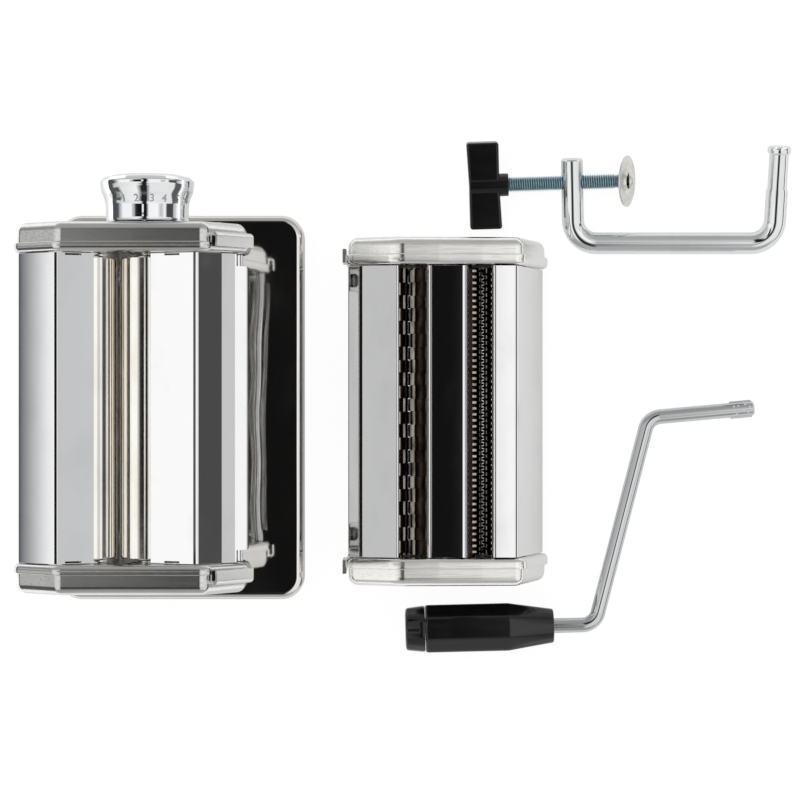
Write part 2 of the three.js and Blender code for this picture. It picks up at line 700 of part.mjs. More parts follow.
function buildRollers(group) {
  const half = rollerWidth / 2;
  const hub = half + hubLength;
  const crankEnd = -capCrownIn + socketSetback;
  const stepY = -boltedFace - shaftStep;
  const shoulder = shaftRadius + rollerHub;
  const tail = boltedFace + shaftTail;
  const roller = [[shaftRadius, -hub], [shoulder, -hub], [shoulder, -half], [rollerRadius, -half],
    [rollerRadius, half], [shoulder, half], [shoulder, hub], [shaftRadius, hub],
    [shaftRadius, tail], [0, tail]];
  const drive = turned([[0, crankEnd], [socketShaft, crankEnd], [socketShaft, stepY], [shaftRadius, stepY],
    ...roller], driveX, rollerHeight, 18);
  const adjustEnd = crankEnd + adjustSetback;
  add(group, "drive_roller",
    cut(drive, ...crankSocket(driveX, rollerHeight, crankEnd, socketDepth)), nickel);
  add(group, "adjust_roller",
    turned([[0, adjustEnd], [shaftRadius, adjustEnd], ...roller], adjustX, rollerHeight, 18), nickel);
  const gearTop = stepY - seat;
  gearPair(group, ["drive_gear", "adjust_gear"], rollerGearTeeth, [driveX, adjustX], rollerHeight,
    [socketShaft, shaftRadius], [gearTop - gearWidth, gearTop], adjustClose);
}

function buildBush(group, name) {
  const outer = shaftRadius + bushWall;
  const [over, thick] = bushFlange;
  const top = boltedFace + thick;
  const body = turned([[0, spanEnd], [outer, spanEnd], [outer, boltedFace], [outer + over, boltedFace],
    [outer + over, top], [0, top]], driveX, rollerHeight, 20);
  const bore = round(driveX, rollerHeight, shaftRadius + runGap, spanEnd - past, top + past, 20);
  add(group, name, cut(body, bore), nickel);
}

// The sliding block that carries one end of the second roller; one end has the eccentric's slot.
function yoke(hasSlot) {
  const [halfX, halfZ] = yokeHalf;
  const floor = boltedFace + yokePlate;
  const top = hasSlot ? floor + yokeSlot : floor;
  const at = (hx, hz, y0, y1) =>
    block([adjustX - hx, adjustX + hx], [y0, y1], [rollerHeight - hz, rollerHeight + hz]);
  const body = joined(at(halfX, halfZ, boltedFace, top),
    at(yokeBoss, yokeBoss, plateIn + runGap, boltedFace + weld));
  const bore = round(adjustX, rollerHeight, shaftRadius + runGap, plateIn - past, top + past, 20);
  const wide = eccentricRadius + seat;
  return hasSlot ? cut(body, bore, at(wide, wide + eccentric, floor, top + past)) : cut(body, bore);
}

function buildAdjuster(ends) {
  add(ends.knob, "yoke_knob", yoke(true), steel);
  add(ends.crank, "yoke_crank", yoke(false), steel);
  const discLow = boltedFace + yokePlate + seat;
  const discTop = boltedFace + yokePlate + yokeSlot + seat;
  const a = THREE.MathUtils.degToRad(eccentricAngle);
  const about = (radius, y0, y1) => round(spindleX, rollerHeight, radius, y0, y1);
  const knobFace = capCrown + knobGap;
  const square = (half, y0, y1) => block([spindleX - half, spindleX + half], [y0, y1],
    [rollerHeight - half, rollerHeight + half]);
  const half = spindleSquare / 2;
  const headLow = knobFace + springHeadLow;
  const [collarOver, collarThick] = spindleCollar;
  const collarTop = capCrownIn - seat;
  const [headOver, headThick] = springHead;
  const disc = round(spindleX + eccentric * Math.sin(a), rollerHeight + eccentric * Math.cos(a),
    eccentricRadius, discLow, discTop + weld);
  add(ends.knob, "eccentric_spindle",
    joined(disc, about(spindleRadius, discTop, capCrown + seat),
      about(spindleRadius + collarOver, collarTop - collarThick, collarTop),
      square(half, capCrown, headLow + weld),
      about(springRadius + springWire + headOver, headLow, headLow + headThick)), steel);

  const taper = Array.from({ length: 4 }, (_, k) => {
    const turnBy = (1 - k / 3) * (Math.PI / 2);
    return [knobRadius - (knobRadius - knobWaist) * Math.sin(turnBy),
      knobHeight - knobRim - knobTaper * (1 - Math.cos(turnBy))];
  });
  const profile = [[0, knobFloor], [knobRecess - past, knobFloor], [knobRecess - past, 0],
    [knobWaist - knobChamfer, 0], [knobWaist, knobChamfer], ...taper,
    [knobRadius, knobHeight - knobEdge], [knobRadius - knobEdge, knobHeight], [knobRecess, knobHeight],
    [knobRecess, knobFloorTop], [0, knobFloorTop]];
  const knob = turned(profile.map(([r, y]) => [r, y + knobFace]), spindleX, rollerHeight, 20);
  const hole = square(half + runGap, knobFace, knobFace + knobFloorTop + past);
  const pin = round(spindleX, rollerHeight + indexCircle, indexPin, knobFace - indexTip, knobFace + past,
    10);
  add(ends.knob, "thickness_knob", joined(cut(knob, hole), pin), chrome);
  addSpring(ends.knob, knobFace + knobFloorTop + springWire + seat, headLow - springWire - seat);
}

function addSpring(group, low, high) {
  class Coil extends THREE.Curve {
    getPoint(t, target = new THREE.Vector3()) {
      const w = t * springTurns * 2 * Math.PI;
      return target.set(spindleX + springRadius * Math.cos(w), low + (high - low) * t,
        rollerHeight + springRadius * Math.sin(w));
    }
  }
  const wire = new THREE.Shape(circle(0, 0, springWire, 4));
  const path = { steps: springTurns * 8, extrudePath: new Coil(), bevelEnabled: false };
  add(group, "knob_spring", solid(new THREE.ExtrudeGeometry(wire, path)), steel);
}

function buildMachine() {
  const machine = new THREE.Group();
  const ends = pairOfEnds(machine);
  buildBase(machine);
  buildScrews(machine);
  for (const end of ["knob", "crank"]) {
    buildSideFrame(ends[end], `side_frame_${end}`);
    buildRail(ends[end], `cutter_rail_${end}`);
    buildBush(ends[end], `roller_bush_${end}`);
  }
  buildEndCaps(ends);
  buildCovers(machine);
  buildRodsAndScrapers(machine);
  buildRollers(machine);
  buildAdjuster(ends);
  return machine;
}

// ---- cutter attachment ----
function buildCutterEnd(group, end) {
  const plate = pressing(cutterOutline, -plateIn - cutterLip, -plateIn, sheet, lipBend, alongMinusY, 1);
  const lug = block([cutterBack - lugProud, cutterBack + runGap * 2], [plateOut + past, plateIn + lugReach],
    lugSpan);
  const socketed = (i) => end === "crank" && i % 2 === 0;
  const hole = (x, radius) => round(x, cutterAxis, radius + runGap, plateIn - past, plateOut + past);
  const holes = cutterAxes.map((x, i) => hole(x, socketed(i) ? socketShaft : cutterShaft));
  const rods = cutterRods.map(([x, z]) =>
    round(x, z, rivetRadius + seat, plateIn - past, plateOut + past, 14));
  add(group, `cutter_plate_${end}`, cut(joined(plate, lug), ...holes, ...rods), brushed);
  const ports = cutterAxes.filter((_, i) => socketed(i)).map((x) =>
    round(x, cutterAxis, socketShaft + socketPort, capCrownIn - past, capCrown + past, 20));
  add(group, `cutter_cap_${end}`, cut(capShell(cutterOutline), ...ports), brushed);
}

function buildCutterCovers(group) {
  const panel = (name, path) =>
    add(group, name, prism(bent(path, cover), -spanEnd, spanEnd, alongY), mirror);
  const lipLow = cutterAxis + cutterRadius + coverLipRise;
  const side = cutterBack + capInset + cover / 2;
  const [wideBack, wideFront] = wideMouth.map((d) => widePairX + d);
  const [fineBack, fineFront] = fineMouth.map((d) => finePairX + d);
  panel("cutter_cover_left", [[side, leftCoverFoot, 0], [side, leftCoverHip, coverBend],
    [cutterBack + leftCoverShoulder[0], leftCoverShoulder[1], coverBend],
    [wideBack, coverTop, coverCrease], [wideBack, lipLow, 0]]);
  panel("cutter_cover_centre", [[wideFront, lipLow, 0], [wideFront, coverTop, coverCrease],
    [fineBack, coverTop, coverCrease], [fineBack, lipLow, 0]]);
  panel("cutter_cover_right", [[fineFront, lipLow, 0], [fineFront, rightCoverTop, coverCrease],
    [cutterTopFront - rightCoverRidge[0], rightCoverRidge[1], coverCrease],
    [cutterFront - rightCoverFoot[0], rightCoverFoot[1], 0]]);
}

// A roller of raised discs, every other strip, so that two of them run between each other.
function discRoller(x, strips, parity, socketed, gearSide, sides) {
  const half = rollerWidth / 2;
  const hub = half + hubLength;
  const pitch = rollerWidth / strips;
  const short = boltedFace + shaftTail;
  const long = capCrownIn - shaftEndGap;
  const plainLow = gearSide < 0 ? -long : -short;
  const low = socketed ? -capCrownIn + socketSetback : plainLow;
  const high = gearSide > 0 ? long : short;
  const crankSide = socketed ? socketShaft : cutterShaft;
  const profile = [[0, low], [crankSide, low], [crankSide, -hub], [cutterCore, -hub]];
  for (let i = parity; i < strips; i += 2) {
    const from = -half + i * pitch + discClearance;
    const to = from + pitch - 2 * discClearance;
    profile.push([cutterCore, from], [cutterRadius, from], [cutterRadius, to], [cutterCore, to]);
  }
  profile.push([cutterCore, hub], [cutterShaft, hub], [cutterShaft, high], [0, high]);
  const roller = turned(profile, x, cutterAxis, sides);
  return socketed ? cut(roller, ...crankSocket(x, cutterAxis, low, cutterSocketDepth)) : roller;
}

function buildCutterPair(group, label, x, strips, gearSide, sides) {
  const places = [x - cutterSpacing / 2, x + cutterSpacing / 2];
  ["a", "b"].forEach((letter, i) => add(group, `${label}_roller_${letter}`,
    discRoller(places[i], strips, i, i === 0, gearSide, sides), nickel));
  const near = plateOut + gearStandoff;
  const span = gearSide > 0 ? [near, near + gearWidth] : [-near - gearWidth, -near];
  gearPair(group, [`${label}_gear_a`, `${label}_gear_b`], cutterGearTeeth, places, cutterAxis,
    [gearSide < 0 ? socketShaft : cutterShaft, cutterShaft], span, 0);

  const low = cutterAxis - combDrop;
  const blade = (s) => prism(bent([[x + s * combHalf, cutterAxis - combTop, 0],
    [x + s * (combHalf + combLean), low, 0]], combSheet), -spanEnd, spanEnd, alongY);
  const bar = (y) =>
    block([x - combHalf, x + combHalf], [y, y + combEnd], [low + past, low + past + combBar]);
  add(group, `${label}_comb`, joined(blade(-1), blade(1), bar(-spanEnd), bar(spanEnd - combEnd)), steel);
}

function buildCutter() {
  const cutter = new THREE.Group();
  const ends = pairOfEnds(cutter);
  buildCutterEnd(ends.knob, "far");
  buildCutterEnd(ends.crank, "crank");
  buildCutterCovers(cutter);
  buildCutterPair(cutter, "wide", widePairX, wideStrips, -1, 12);
  buildCutterPair(cutter, "fine", finePairX, fineStrips, 1, 8);
  add(cutter, "cutter_rod_left", tieRod(...cutterRods[0]), chrome);
  add(cutter, "cutter_rod_right", tieRod(...cutterRods[1]), chrome);
  return cutter;
}

// ---- table clamp: its own plane is XY, the long bar along X, the screw leg at the origin ----
const splay = THREE.MathUtils.degToRad(clampSplay);
// A point at height h on the screw leg (side -1) or the hooked leg (side 1).
const onLeg = (side, h) => new THREE.Vector3(
  (side > 0 ? clampSpan : 0) + side * h * Math.sin(splay), h * Math.cos(splay), 0);
const screwAxis = new THREE.Vector3(Math.cos(splay), Math.sin(splay), 0);
const screwUp = new THREE.Vector3(-Math.sin(splay), Math.cos(splay), 0);
const screwPlane = frameOf(screwUp, screwAxis, Z, onLeg(-1, threadHeight));
// Lathe profiles run along the screw: their Y axis is laid on the screw's.
const screwLathe = frameOf(screwUp.clone().negate(), screwAxis, Z, onLeg(-1, threadHeight));
const spun = (profile, sides, matrix = screwLathe) =>
  solid(new THREE.LatheGeometry(profile.map(([r, y]) => V2(r, y)), sides), matrix);
// Points of an arc about the pad's pivot, from one angle off the screw's axis to another.
const pivotArc = (radius, from, to, steps) => Array.from({ length: steps + 1 }, (_, k) => {
  const a = THREE.MathUtils.degToRad(from + ((to - from) * k) / steps);
  return [radius * Math.sin(a), pivotReach + radius * Math.cos(a)];
});
const screwEnd = wingHubEnd - wingHubLength - wingLength + screwBuried;
const rivetEnd = pivotReach - rivetDepth;
const padInner = threadRadius + seat;

function buildClampBar(clamp) {
  const bar = tube([onLeg(-1, screwLeg), onLeg(-1, 0), onLeg(1, 0), onLeg(1, hookLeg)],
    clampBend, clampRadius, 7, 10);
  const legAxis = new THREE.Vector3(Math.sin(splay), Math.cos(splay), 0);
  const legAcross = new THREE.Vector3(-legAxis.y, legAxis.x, 0);
  const hook = frameOf(legAcross, Z, legAxis, onLeg(1, 0));
  const neckEnd = hookLeg + neckLength;
  const neck = prism(circle(0, 0, neckRadius, 14), hookLeg - past, neckEnd + weld, hook);
  const bead = prism(circle(0, 0, beadRadius, 16), neckEnd, neckEnd + beadLength, hook);
  const across = frameOf(screwUp, Z, screwAxis, onLeg(-1, threadHeight));
  const thread = prism(circle(0, 0, threadRadius + runGap), -3 * clampRadius, 3 * clampRadius, across);
  add(clamp, "clamp_bar", cut(joined(bar, neck, bead), thread), chrome);
}

function buildWingKnob(clamp) {
  const across = frameOf(screwUp, Z, screwAxis, onLeg(-1, threadHeight));
  const mid = wingHubEnd - wingHubLength - wingLength / 2;
  const flare = Math.tan(THREE.MathUtils.degToRad(wingFlare)) * wingSpan / 2;
  const h = wingSpan / 2;
  const w = wingLength / 2;
  const wing = rounded([[-h, mid - w + wingSkew, wingCorner], [0, mid - w + flare, wingHollow],
    [h, mid - w, wingCorner], [h, mid + w - wingSkew, wingCorner],
    [0, mid + w - flare, wingHollow], [-h, mid + w, wingCorner]]);
  const wings = prism(wing, -wingThickness / 2, wingThickness / 2, screwPlane);
  const hub = prism(circle(0, 0, wingHubRadius, 18), mid, wingHubEnd, across);
  const bore = prism(circle(0, 0, threadRadius + seat), screwEnd - seat, wingHubEnd + past, across);
  add(clamp, "clamp_wing_knob", cut(joined(wings, hub), bore), mattBlack);
}

function buildScrewAndPad(clamp) {
  const screw = spun([[0, screwEnd], [threadRadius, screwEnd], ...pivotArc(threadRadius, 90, 0, 4)], 16);
  const boreTop = pivotReach + 1.5 * threadRadius;
  const bore = spun([[0, rivetEnd], [rivetBore, rivetEnd], [rivetBore, boreTop], [0, boreTop]], 12);
  add(clamp, "clamp_screw", cut(screw, bore), zinc);

  const face = pivotArc(padInner + padWall + seat, 0, padHead, 3);
  const [rimR, rimY] = face.at(-1);
  add(clamp, "pad_rivet",
    spun([[0, rivetEnd + seat], [rivetShank, rivetEnd + seat], [rivetShank, face[0][1]], ...face.slice(1),
      [rimR * 0.8, rimY + 0.7 * rivetDome], [0, rimY + rivetDome]], 16), padZinc);

  const inner = pivotArc(padInner, ...padCup, 2);
  const outer = pivotArc(padInner + padWall, ...padCup, 2);
  const [footR, footY] = inner.at(-1);
  const rimLow = footY + padRim;
  const padProfile = [...inner, [footR + padRim, footY], [padRadius, rimLow],
    [padRadius, rimLow + padWall], [footR + 2 * padRim, footY + padWall],
    ...outer.toReversed(), inner[0]];
  const pivot = screwAxis.clone().multiplyScalar(pivotReach).add(onLeg(-1, threadHeight));
  const tilt = new THREE.Matrix4().makeTranslation(pivot)
    .multiply(new THREE.Matrix4().makeRotationAxis(screwUp, THREE.MathUtils.degToRad(-padTilt)))
    .multiply(new THREE.Matrix4().makeTranslation(pivot.clone().negate()));
  add(clamp, "clamp_pad", spun(padProfile, 18, tilt.multiply(screwLathe)), padZinc);
}

function buildClamp() {
  const clamp = new THREE.Group();
  buildClampBar(clamp);
  buildWingKnob(clamp);
  buildScrewAndPad(clamp);
  clamp.rotation.x = THREE.MathUtils.degToRad(clampLean);
  clamp.position.z = clampRadius;
  return clamp;
}

// ---- hand crank: its own plane is XY, the shaft-to-arm corner at the origin ----
const direction = (degrees) => {
  const a = THREE.MathUtils.degToRad(degrees);
  return new THREE.Vector3(Math.cos(a), Math.sin(a), 0);
};
// A frame whose third axis runs along a direction in the crank's plane.
const runFrame = (along, origin) => frameOf(new THREE.Vector3(-along.y, along.x, 0), Z, along, origin);
const shaftEnd = direction(crankShaftAngle).multiplyScalar(crankShaft);
const elbow = direction(crankArmAngle).multiplyScalar(crankArm);
const gripFrame = runFrame(direction(crankGripAngle), elbow);
const gripEnd = crankGripRun + gripLength;
const capStart = gripEnd - gripCapLength;
const rodReach = capStart + rodPastGrip;

// A ring of the grip: share 1 is an octagon of that half width, share 0 a circle.
const ring = (radius, depth, share) => ({
  points: Array.from({ length: 16 }, (_, i) => {
    const a = (2 * Math.PI * i) / 16;
    const facet = ((a + Math.PI / 8) % (Math.PI / 4)) - Math.PI / 8;
    const r = radius * THREE.MathUtils.lerp(1, 1 / Math.cos(facet), share);
    return V2(r * Math.cos(a), r * Math.sin(a));
  }),
  depth,
});

function buildCrankRod(crank) {
  const rodEnd = direction(crankGripAngle).multiplyScalar(rodReach).add(elbow);
  const rod = tube([shaftEnd, new THREE.Vector3(), elbow, rodEnd], crankBend, crankRadius, 7.5, 8);
  const key = crankRadius + driveRib;
  const ribs = prism(rounded(rectangle(-key, -driveRibHalf, key, driveRibHalf)),
    crankShaft - driveRibLength, crankShaft - past, runFrame(direction(crankShaftAngle)));
  const head = prism(circle(0, 0, crankHead, 14), rodReach - crankHeadLength, rodReach, gripFrame);
  add(crank, "crank_rod", joined(rod, ribs, head), chrome);
}

function buildGrip(crank) {
  const start = crankGripRun;
  const halfway = start + gripTaper / 2;
  const body = skin([ring(gripAcross, capStart, 0.2), ring(gripAcross, capStart - gripCapEdge, 1),
    ring(gripAcross, start + gripTaper, 1), ring((gripAcross + gripNose) / 2, halfway, 0.6),
    ring(gripNose, start + gripNoseEdge, 0.1), ring(gripNose - gripNoseEdge, start, 0)], gripFrame);
  const bore = prism(circle(0, 0, crankRadius + runGap), start - past, capStart + past, gripFrame);
  const pocketRadius = crankHead + crankHeadClear;
  const pocket = prism(circle(0, 0, pocketRadius), rodReach - crankHeadLength - seat, capStart + past,
    gripFrame);
  add(crank, "crank_grip", cut(body, bore, pocket), glossBlack);

  const capLow = capStart + seat;
  const cap = skin([ring(gripCapEnd - gripCapEdge, gripEnd, 0), ring(gripCapEnd, gripEnd - gripCapEdge, 0.2),
    ring(gripAcross - gripSeam / 2, capLow + gripSeam, 0.4), ring(gripAcross - gripSeam, capLow, 0.2)],
  gripFrame);
  const hollow = prism(circle(0, 0, pocketRadius), capLow - past, rodReach + seat, gripFrame);
  add(crank, "grip_end_cap", cut(cap, hollow), glossBlack);
}

function buildCrank() {
  const crank = new THREE.Group();
  buildCrankRod(crank);
  buildGrip(crank);
  const lean = Math.asin((gripAcross + crankFlat - crankRadius) / crankArm);
  crank.rotation.x = -lean;
  crank.position.z = crankRadius + shaftEnd.y * Math.sin(lean);
  return crank;
}

// ---- the set as it is laid out, its footprint's middle at the origin ----
const layout = new THREE.Group();
const stand = (group, x, y) => {
  group.position.x = x;
  group.position.y = y;
  layout.add(group);
};
stand(buildMachine(), ...machinePlace);
stand(buildCutter(), ...cutterPlace);
stand(buildClamp(), clampPlace[0], cutterPlace[1] + capCrown + clampPlace[1]);
stand(buildCrank(), crankPlace[0], cutterPlace[1] - capCrown + crankPlace[1]);

const root = new THREE.Group();
root.add(layout);
root.updateMatrixWorld(true);
const extent = new THREE.Box3().setFromObject(layout, true);
const middle = extent.getCenter(new THREE.Vector3());
layout.position.set(-middle.x, -middle.y, -extent.min.z);

export default root;
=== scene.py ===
# %% [markdown]
# # A pasta roller machine with its cutter, table clamp and crank
# The set lies ready for use: the roller machine on its tray, the cutter that hooks onto it, the clamp
# that holds it to a table, and the crank that drives both. Almost everything is folded or turned metal,
# so this lesson is about crisp folds, clean reflections and the light that the metal shows.
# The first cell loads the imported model. Its bodies say what moves, and its boxes say where things are.

# %% Load the frame
import json
import math

import bmesh
import bpy
from mathutils import Matrix, Vector


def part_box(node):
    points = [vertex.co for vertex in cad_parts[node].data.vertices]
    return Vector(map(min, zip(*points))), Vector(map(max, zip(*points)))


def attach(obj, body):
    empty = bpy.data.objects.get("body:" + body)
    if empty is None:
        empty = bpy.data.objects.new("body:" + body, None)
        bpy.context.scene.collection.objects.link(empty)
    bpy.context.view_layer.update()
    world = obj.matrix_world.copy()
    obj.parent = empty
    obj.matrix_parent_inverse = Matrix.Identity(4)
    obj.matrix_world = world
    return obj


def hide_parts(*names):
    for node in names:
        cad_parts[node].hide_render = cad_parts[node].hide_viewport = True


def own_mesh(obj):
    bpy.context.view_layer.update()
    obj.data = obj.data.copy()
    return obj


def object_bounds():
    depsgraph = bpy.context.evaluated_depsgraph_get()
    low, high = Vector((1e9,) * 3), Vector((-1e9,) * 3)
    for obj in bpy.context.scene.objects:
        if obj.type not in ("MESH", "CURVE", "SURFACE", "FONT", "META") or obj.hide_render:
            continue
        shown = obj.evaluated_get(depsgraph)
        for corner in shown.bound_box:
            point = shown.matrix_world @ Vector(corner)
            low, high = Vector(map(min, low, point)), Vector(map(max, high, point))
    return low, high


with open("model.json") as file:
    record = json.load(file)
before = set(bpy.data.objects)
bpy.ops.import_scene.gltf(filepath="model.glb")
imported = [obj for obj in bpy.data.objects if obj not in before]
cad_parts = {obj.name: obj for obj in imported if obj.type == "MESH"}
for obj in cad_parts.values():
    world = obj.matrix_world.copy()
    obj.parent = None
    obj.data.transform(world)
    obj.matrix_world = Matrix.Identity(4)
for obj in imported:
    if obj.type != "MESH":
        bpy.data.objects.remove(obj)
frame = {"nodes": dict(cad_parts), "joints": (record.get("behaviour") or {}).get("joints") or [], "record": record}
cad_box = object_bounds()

scene = bpy.context.scene
joints = {joint["name"]: joint for joint in frame["joints"]}
bodies = frame["record"]["behaviour"]["bodies"]
body_of = {node: body for body, nodes in bodies.items() for node in nodes}
print("box of the frame in metres:", [[round(v, 4) for v in corner] for corner in cad_box])

# %% [markdown]
# ## The camera
# A long lens straight above the table shows the set like a plan. Its place comes from the frame's box,
# so it follows if the set changes size. The long lens keeps the sides of the tall machine nearly hidden.

# %% Camera above the table
LENS = 115.3
CAMERA_HEIGHT = 1.4
CAMERA_ASIDE = (-0.00969, -0.00174)


def added(name, data):
    """A new object in the scene."""
    thing = bpy.data.objects.new(name, data)
    scene.collection.objects.link(thing)
    return thing


camera_data = bpy.data.cameras.new("camera")
camera_data.lens = LENS
camera_data.clip_end = 20
camera = added("camera", camera_data)
above = [(low + high) / 2 + aside for low, high, aside in zip(*cad_box, CAMERA_ASIDE)]
camera.location = [*above, CAMERA_HEIGHT]
scene.camera = camera
scene.view_settings.view_transform = "Standard"
print("camera at", [round(v, 4) for v in camera.location])

# %% [markdown]
# ## Outlines
# Folded sheet and pressings start as flat outlines with rounded corners. `rounded` turns corners into
# short arcs, `inset` moves a closed outline inwards, and `folded` gives a line the thickness of sheet.
# All lengths in this file are millimetres until a piece is placed in the frame, which is in metres.

# %% Outline helpers
LEAST_RADIUS = 0.3


def bend(corner):
    """The radius of a corner, which may be left out."""
    return corner[2] if len(corner) > 2 else 0


def rounded(corners, closed=True, steps=8):
    """Points of a path whose corners are (x, y, radius)."""
    line = []
    count = len(corners)
    for i, corner in enumerate(corners):
        here = Vector(corner[:2])
        radius = bend(corner)
        if not radius or (not closed and i in (0, count - 1)):
            line.append(here)
            continue
        back = (Vector(corners[i - 1][:2]) - here).normalized()
        on = (Vector(corners[(i + 1) % count][:2]) - here).normalized()
        half = math.acos(max(-1, min(1, back.dot(on)))) / 2
        centre = here + (back + on).normalized() * (radius / math.sin(half))
        start = here + back * (radius / math.tan(half)) - centre
        sweep = math.copysign(math.pi - 2 * half, on.x * back.y - on.y * back.x)
        for k in range(steps + 1):
            c, s = math.cos(sweep * k / steps), math.sin(sweep * k / steps)
            line.append(centre + Vector((start.x * c - start.y * s, start.x * s + start.y * c)))
    return line


def mitre(come, go, distance):
    """How far a corner moves when both of its sides move left by `distance`."""
    a, b = Vector((-come.y, come.x)), Vector((-go.y, go.x))
    return (a + b) * (distance / (1 + a.dot(b)))


def inset(corners, distance):
    """A counter-clockwise outline moved inwards, its corner radii following."""
    moved = []
    count = len(corners)
    for i, corner in enumerate(corners):
        here = Vector(corner[:2])
        come = (here - Vector(corners[i - 1][:2])).normalized()
        go = (Vector(corners[(i + 1) % count][:2]) - here).normalized()
        shift = mitre(come, go, distance)
        turn = come.x * go.y - come.y * go.x
        radius = bend(corner) - math.copysign(distance, turn)
        moved.append((here.x + shift.x, here.y + shift.y, max(radius, LEAST_RADIUS)))
    return moved


def folded(path, wall, steps=8):
    """The section of a folded sheet: a path of (x, y, bend radius), thickened about its middle."""
    line = rounded(path, False, steps)
    left, right = [], []
    for i, here in enumerate(line):
        come = (here - line[i - 1] if i else line[1] - here).normalized()
        go = (line[i + 1] - here if i + 1 < len(line) else here - line[i - 1]).normalized()
        shift = mitre(come, go, wall / 2)
        left.append(here + shift)
        right.append(here - shift)
    return left + right[::-1]


def bowed(start, end, rise, steps=6):
    """Points between two corners on a slight outward curve."""
    a, b = Vector(start[:2]), Vector(end[:2])
    normal = Vector((b.y - a.y, a.x - b.x)).normalized()
    inner = [k / steps for k in range(1, steps)]
    return [tuple(a.lerp(b, t) + normal * (4 * rise * t * (1 - t))) for t in inner]


def rectangle(x0, y0, x1, y1, radius=0):
    return [(x0, y0, radius), (x1, y0, radius), (x1, y1, radius), (x0, y1, radius)]


def circle(x, y, radius, sides=48):
    turns = [2 * math.pi * i / sides for i in range(sides)]
    return [Vector((x + radius * math.cos(t), y + radius * math.sin(t))) for t in turns]


print("outline helpers ready")

# %% [markdown]
# ## Solids
# A solid here is a list of points and a list of faces. `skin` joins rings of equally many points, and
# gives prisms and pressings. `turned` spins a profile as a lathe does. `rod` runs round stock along a
# bent centre line. An axis frame says which way the depth runs: along Y for most of this machine.

# %% Solid helpers
def axes(u, v, depth, origin=(0, 0, 0)):
    """A matrix whose first three columns are the given directions."""
    rows = zip(u, v, depth, origin)
    return Matrix([tuple(row) for row in rows] + [(0, 0, 0, 1)])


X, Y, Z = Vector((1, 0, 0)), Vector((0, 1, 0)), Vector((0, 0, 1))
ALONG_X, ALONG_Y, ALONG_Z = axes(Y, Z, X), axes(X, Z, Y), axes(X, Y, Z)
ALONG_MINUS_Y = axes(X, Z, -Y)


def about(x, z):
    """Axes for a lathe that turns about a line along Y."""
    return axes(X, Z, Y, (x, 0, z))


def bridged(rings):
    """A closed skin through rings of equally many points."""
    count = len(rings[0])
    points = [p for ring in rings for p in ring]
    last = len(points) - count
    faces = []
    for k in range(0, last, count):
        for i in range(count):
            j = (i + 1) % count
            faces.append((k + i, k + j, k + count + j, k + count + i))
    faces += [tuple(range(count)), tuple(range(last, last + count))]
    return points, faces


def skin(rings, frame_of=ALONG_Z):
    """The same through flat rings, each a list of points and its depth."""
    return bridged([[frame_of @ Vector((p[0], p[1], depth)) for p in ring] for ring, depth in rings])


def prism(outline, low, high, frame_of=ALONG_Z):
    return skin([(outline, low), (outline, high)], frame_of)


def block(x, y, z):
    return prism([Vector(p[:2]) for p in rectangle(x[0], y[0], x[1], y[1])], z[0], z[1])


def cylinder(x, y, radius, low, high, frame_of=ALONG_Z, sides=48):
    return prism(circle(x, y, radius, sides), low, high, frame_of)


def pressing(corners, low, high, wall, edge, frame_of, steps=7, corner_steps=10, draft=0.0):
    """An open-backed shell: a crown at depth `high` with a rounded edge, a hemmed skirt down to `low`.

    A positive draft narrows it towards the crown, a negative one towards the open edge.
    """
    def ring(d, depth):
        lean = draft * (depth - low) if draft > 0 else -draft * (high - depth)
        return rounded(inset(corners, d + lean), True, corner_steps), depth

    inner = max(edge - wall, 0.2)
    arc = [math.pi / 2 * k / steps for k in range(steps + 1)]
    outside = [ring(edge * (1 - math.sin(a)), high - edge * (1 - math.cos(a))) for a in arc]
    inside = [ring(wall + inner * (1 - math.sin(a)), high - wall - inner * (1 - math.cos(a)))
              for a in reversed(arc)]
    half = wall / 2
    hem = [ring(half * (1 - math.cos(a)), low + half * (1 - math.sin(a)))
           for a in (math.pi * k / 6 for k in range(7))]
    return skin([*outside, *hem, *inside], frame_of)


def turned(profile, frame_of=ALONG_Y, sides=96, ringed=False):
    """A lathed solid from (radius, depth) points; `ringed` joins the last point to the first."""
    points, rows = [], []
    for radius, depth in profile:
        if radius < 1e-6:
            rows.append([len(points)] * sides)
            points.append(frame_of @ Vector((0, 0, depth)))
            continue
        rows.append(list(range(len(points), len(points) + sides)))
        points += [frame_of @ Vector((p.x, p.y, depth)) for p in circle(0, 0, radius, sides)]
    faces = []
    for a, b in zip(rows, rows[1:] + ([rows[0]] if ringed else [])):
        for i in range(sides):
            j = (i + 1) % sides
            face = tuple(dict.fromkeys((a[i], a[j], b[j], b[i])))
            if len(face) > 2:
                faces.append(face)
    return points, faces


def eased(profile, radius=0.4, steps=3):
    """A lathe profile whose inner corners are rounded by a small radius."""
    return [tuple(p) for p in rounded([(r, y, radius) for r, y in profile], False, steps)]


def rod(line, radii, sides=32):
    """Round stock along points of the XY plane, with a radius for each point."""
    rings = []
    for i, here in enumerate(line):
        on = (line[min(i + 1, len(line) - 1)] - line[max(i - 1, 0)]).normalized()
        across = Vector((-on.y, on.x, 0))
        rings.append([Vector((here.x, here.y, 0)) + radii[i] * (math.cos(t) * across + math.sin(t) * Z)
                      for t in (2 * math.pi * k / sides for k in range(sides))])
    return bridged(rings)


def together(*shapes):
    """Several solids in one list of points and faces."""
    points, faces = [], []
    for more, rings in shapes:
        faces += [tuple(i + len(points) for i in face) for face in rings]
        points += more
    return points, faces


print("solid helpers ready")

# %% [markdown]
# ## From solid to piece
# `piece` places a solid in the frame, cuts its openings with the Boolean modifier, softens its edges
# with a small bevel and weights its normals, so that flat sheet stays flat in reflections while folds
# shade smoothly. Each piece then rides on its body and says which solids of the frame it stands for.

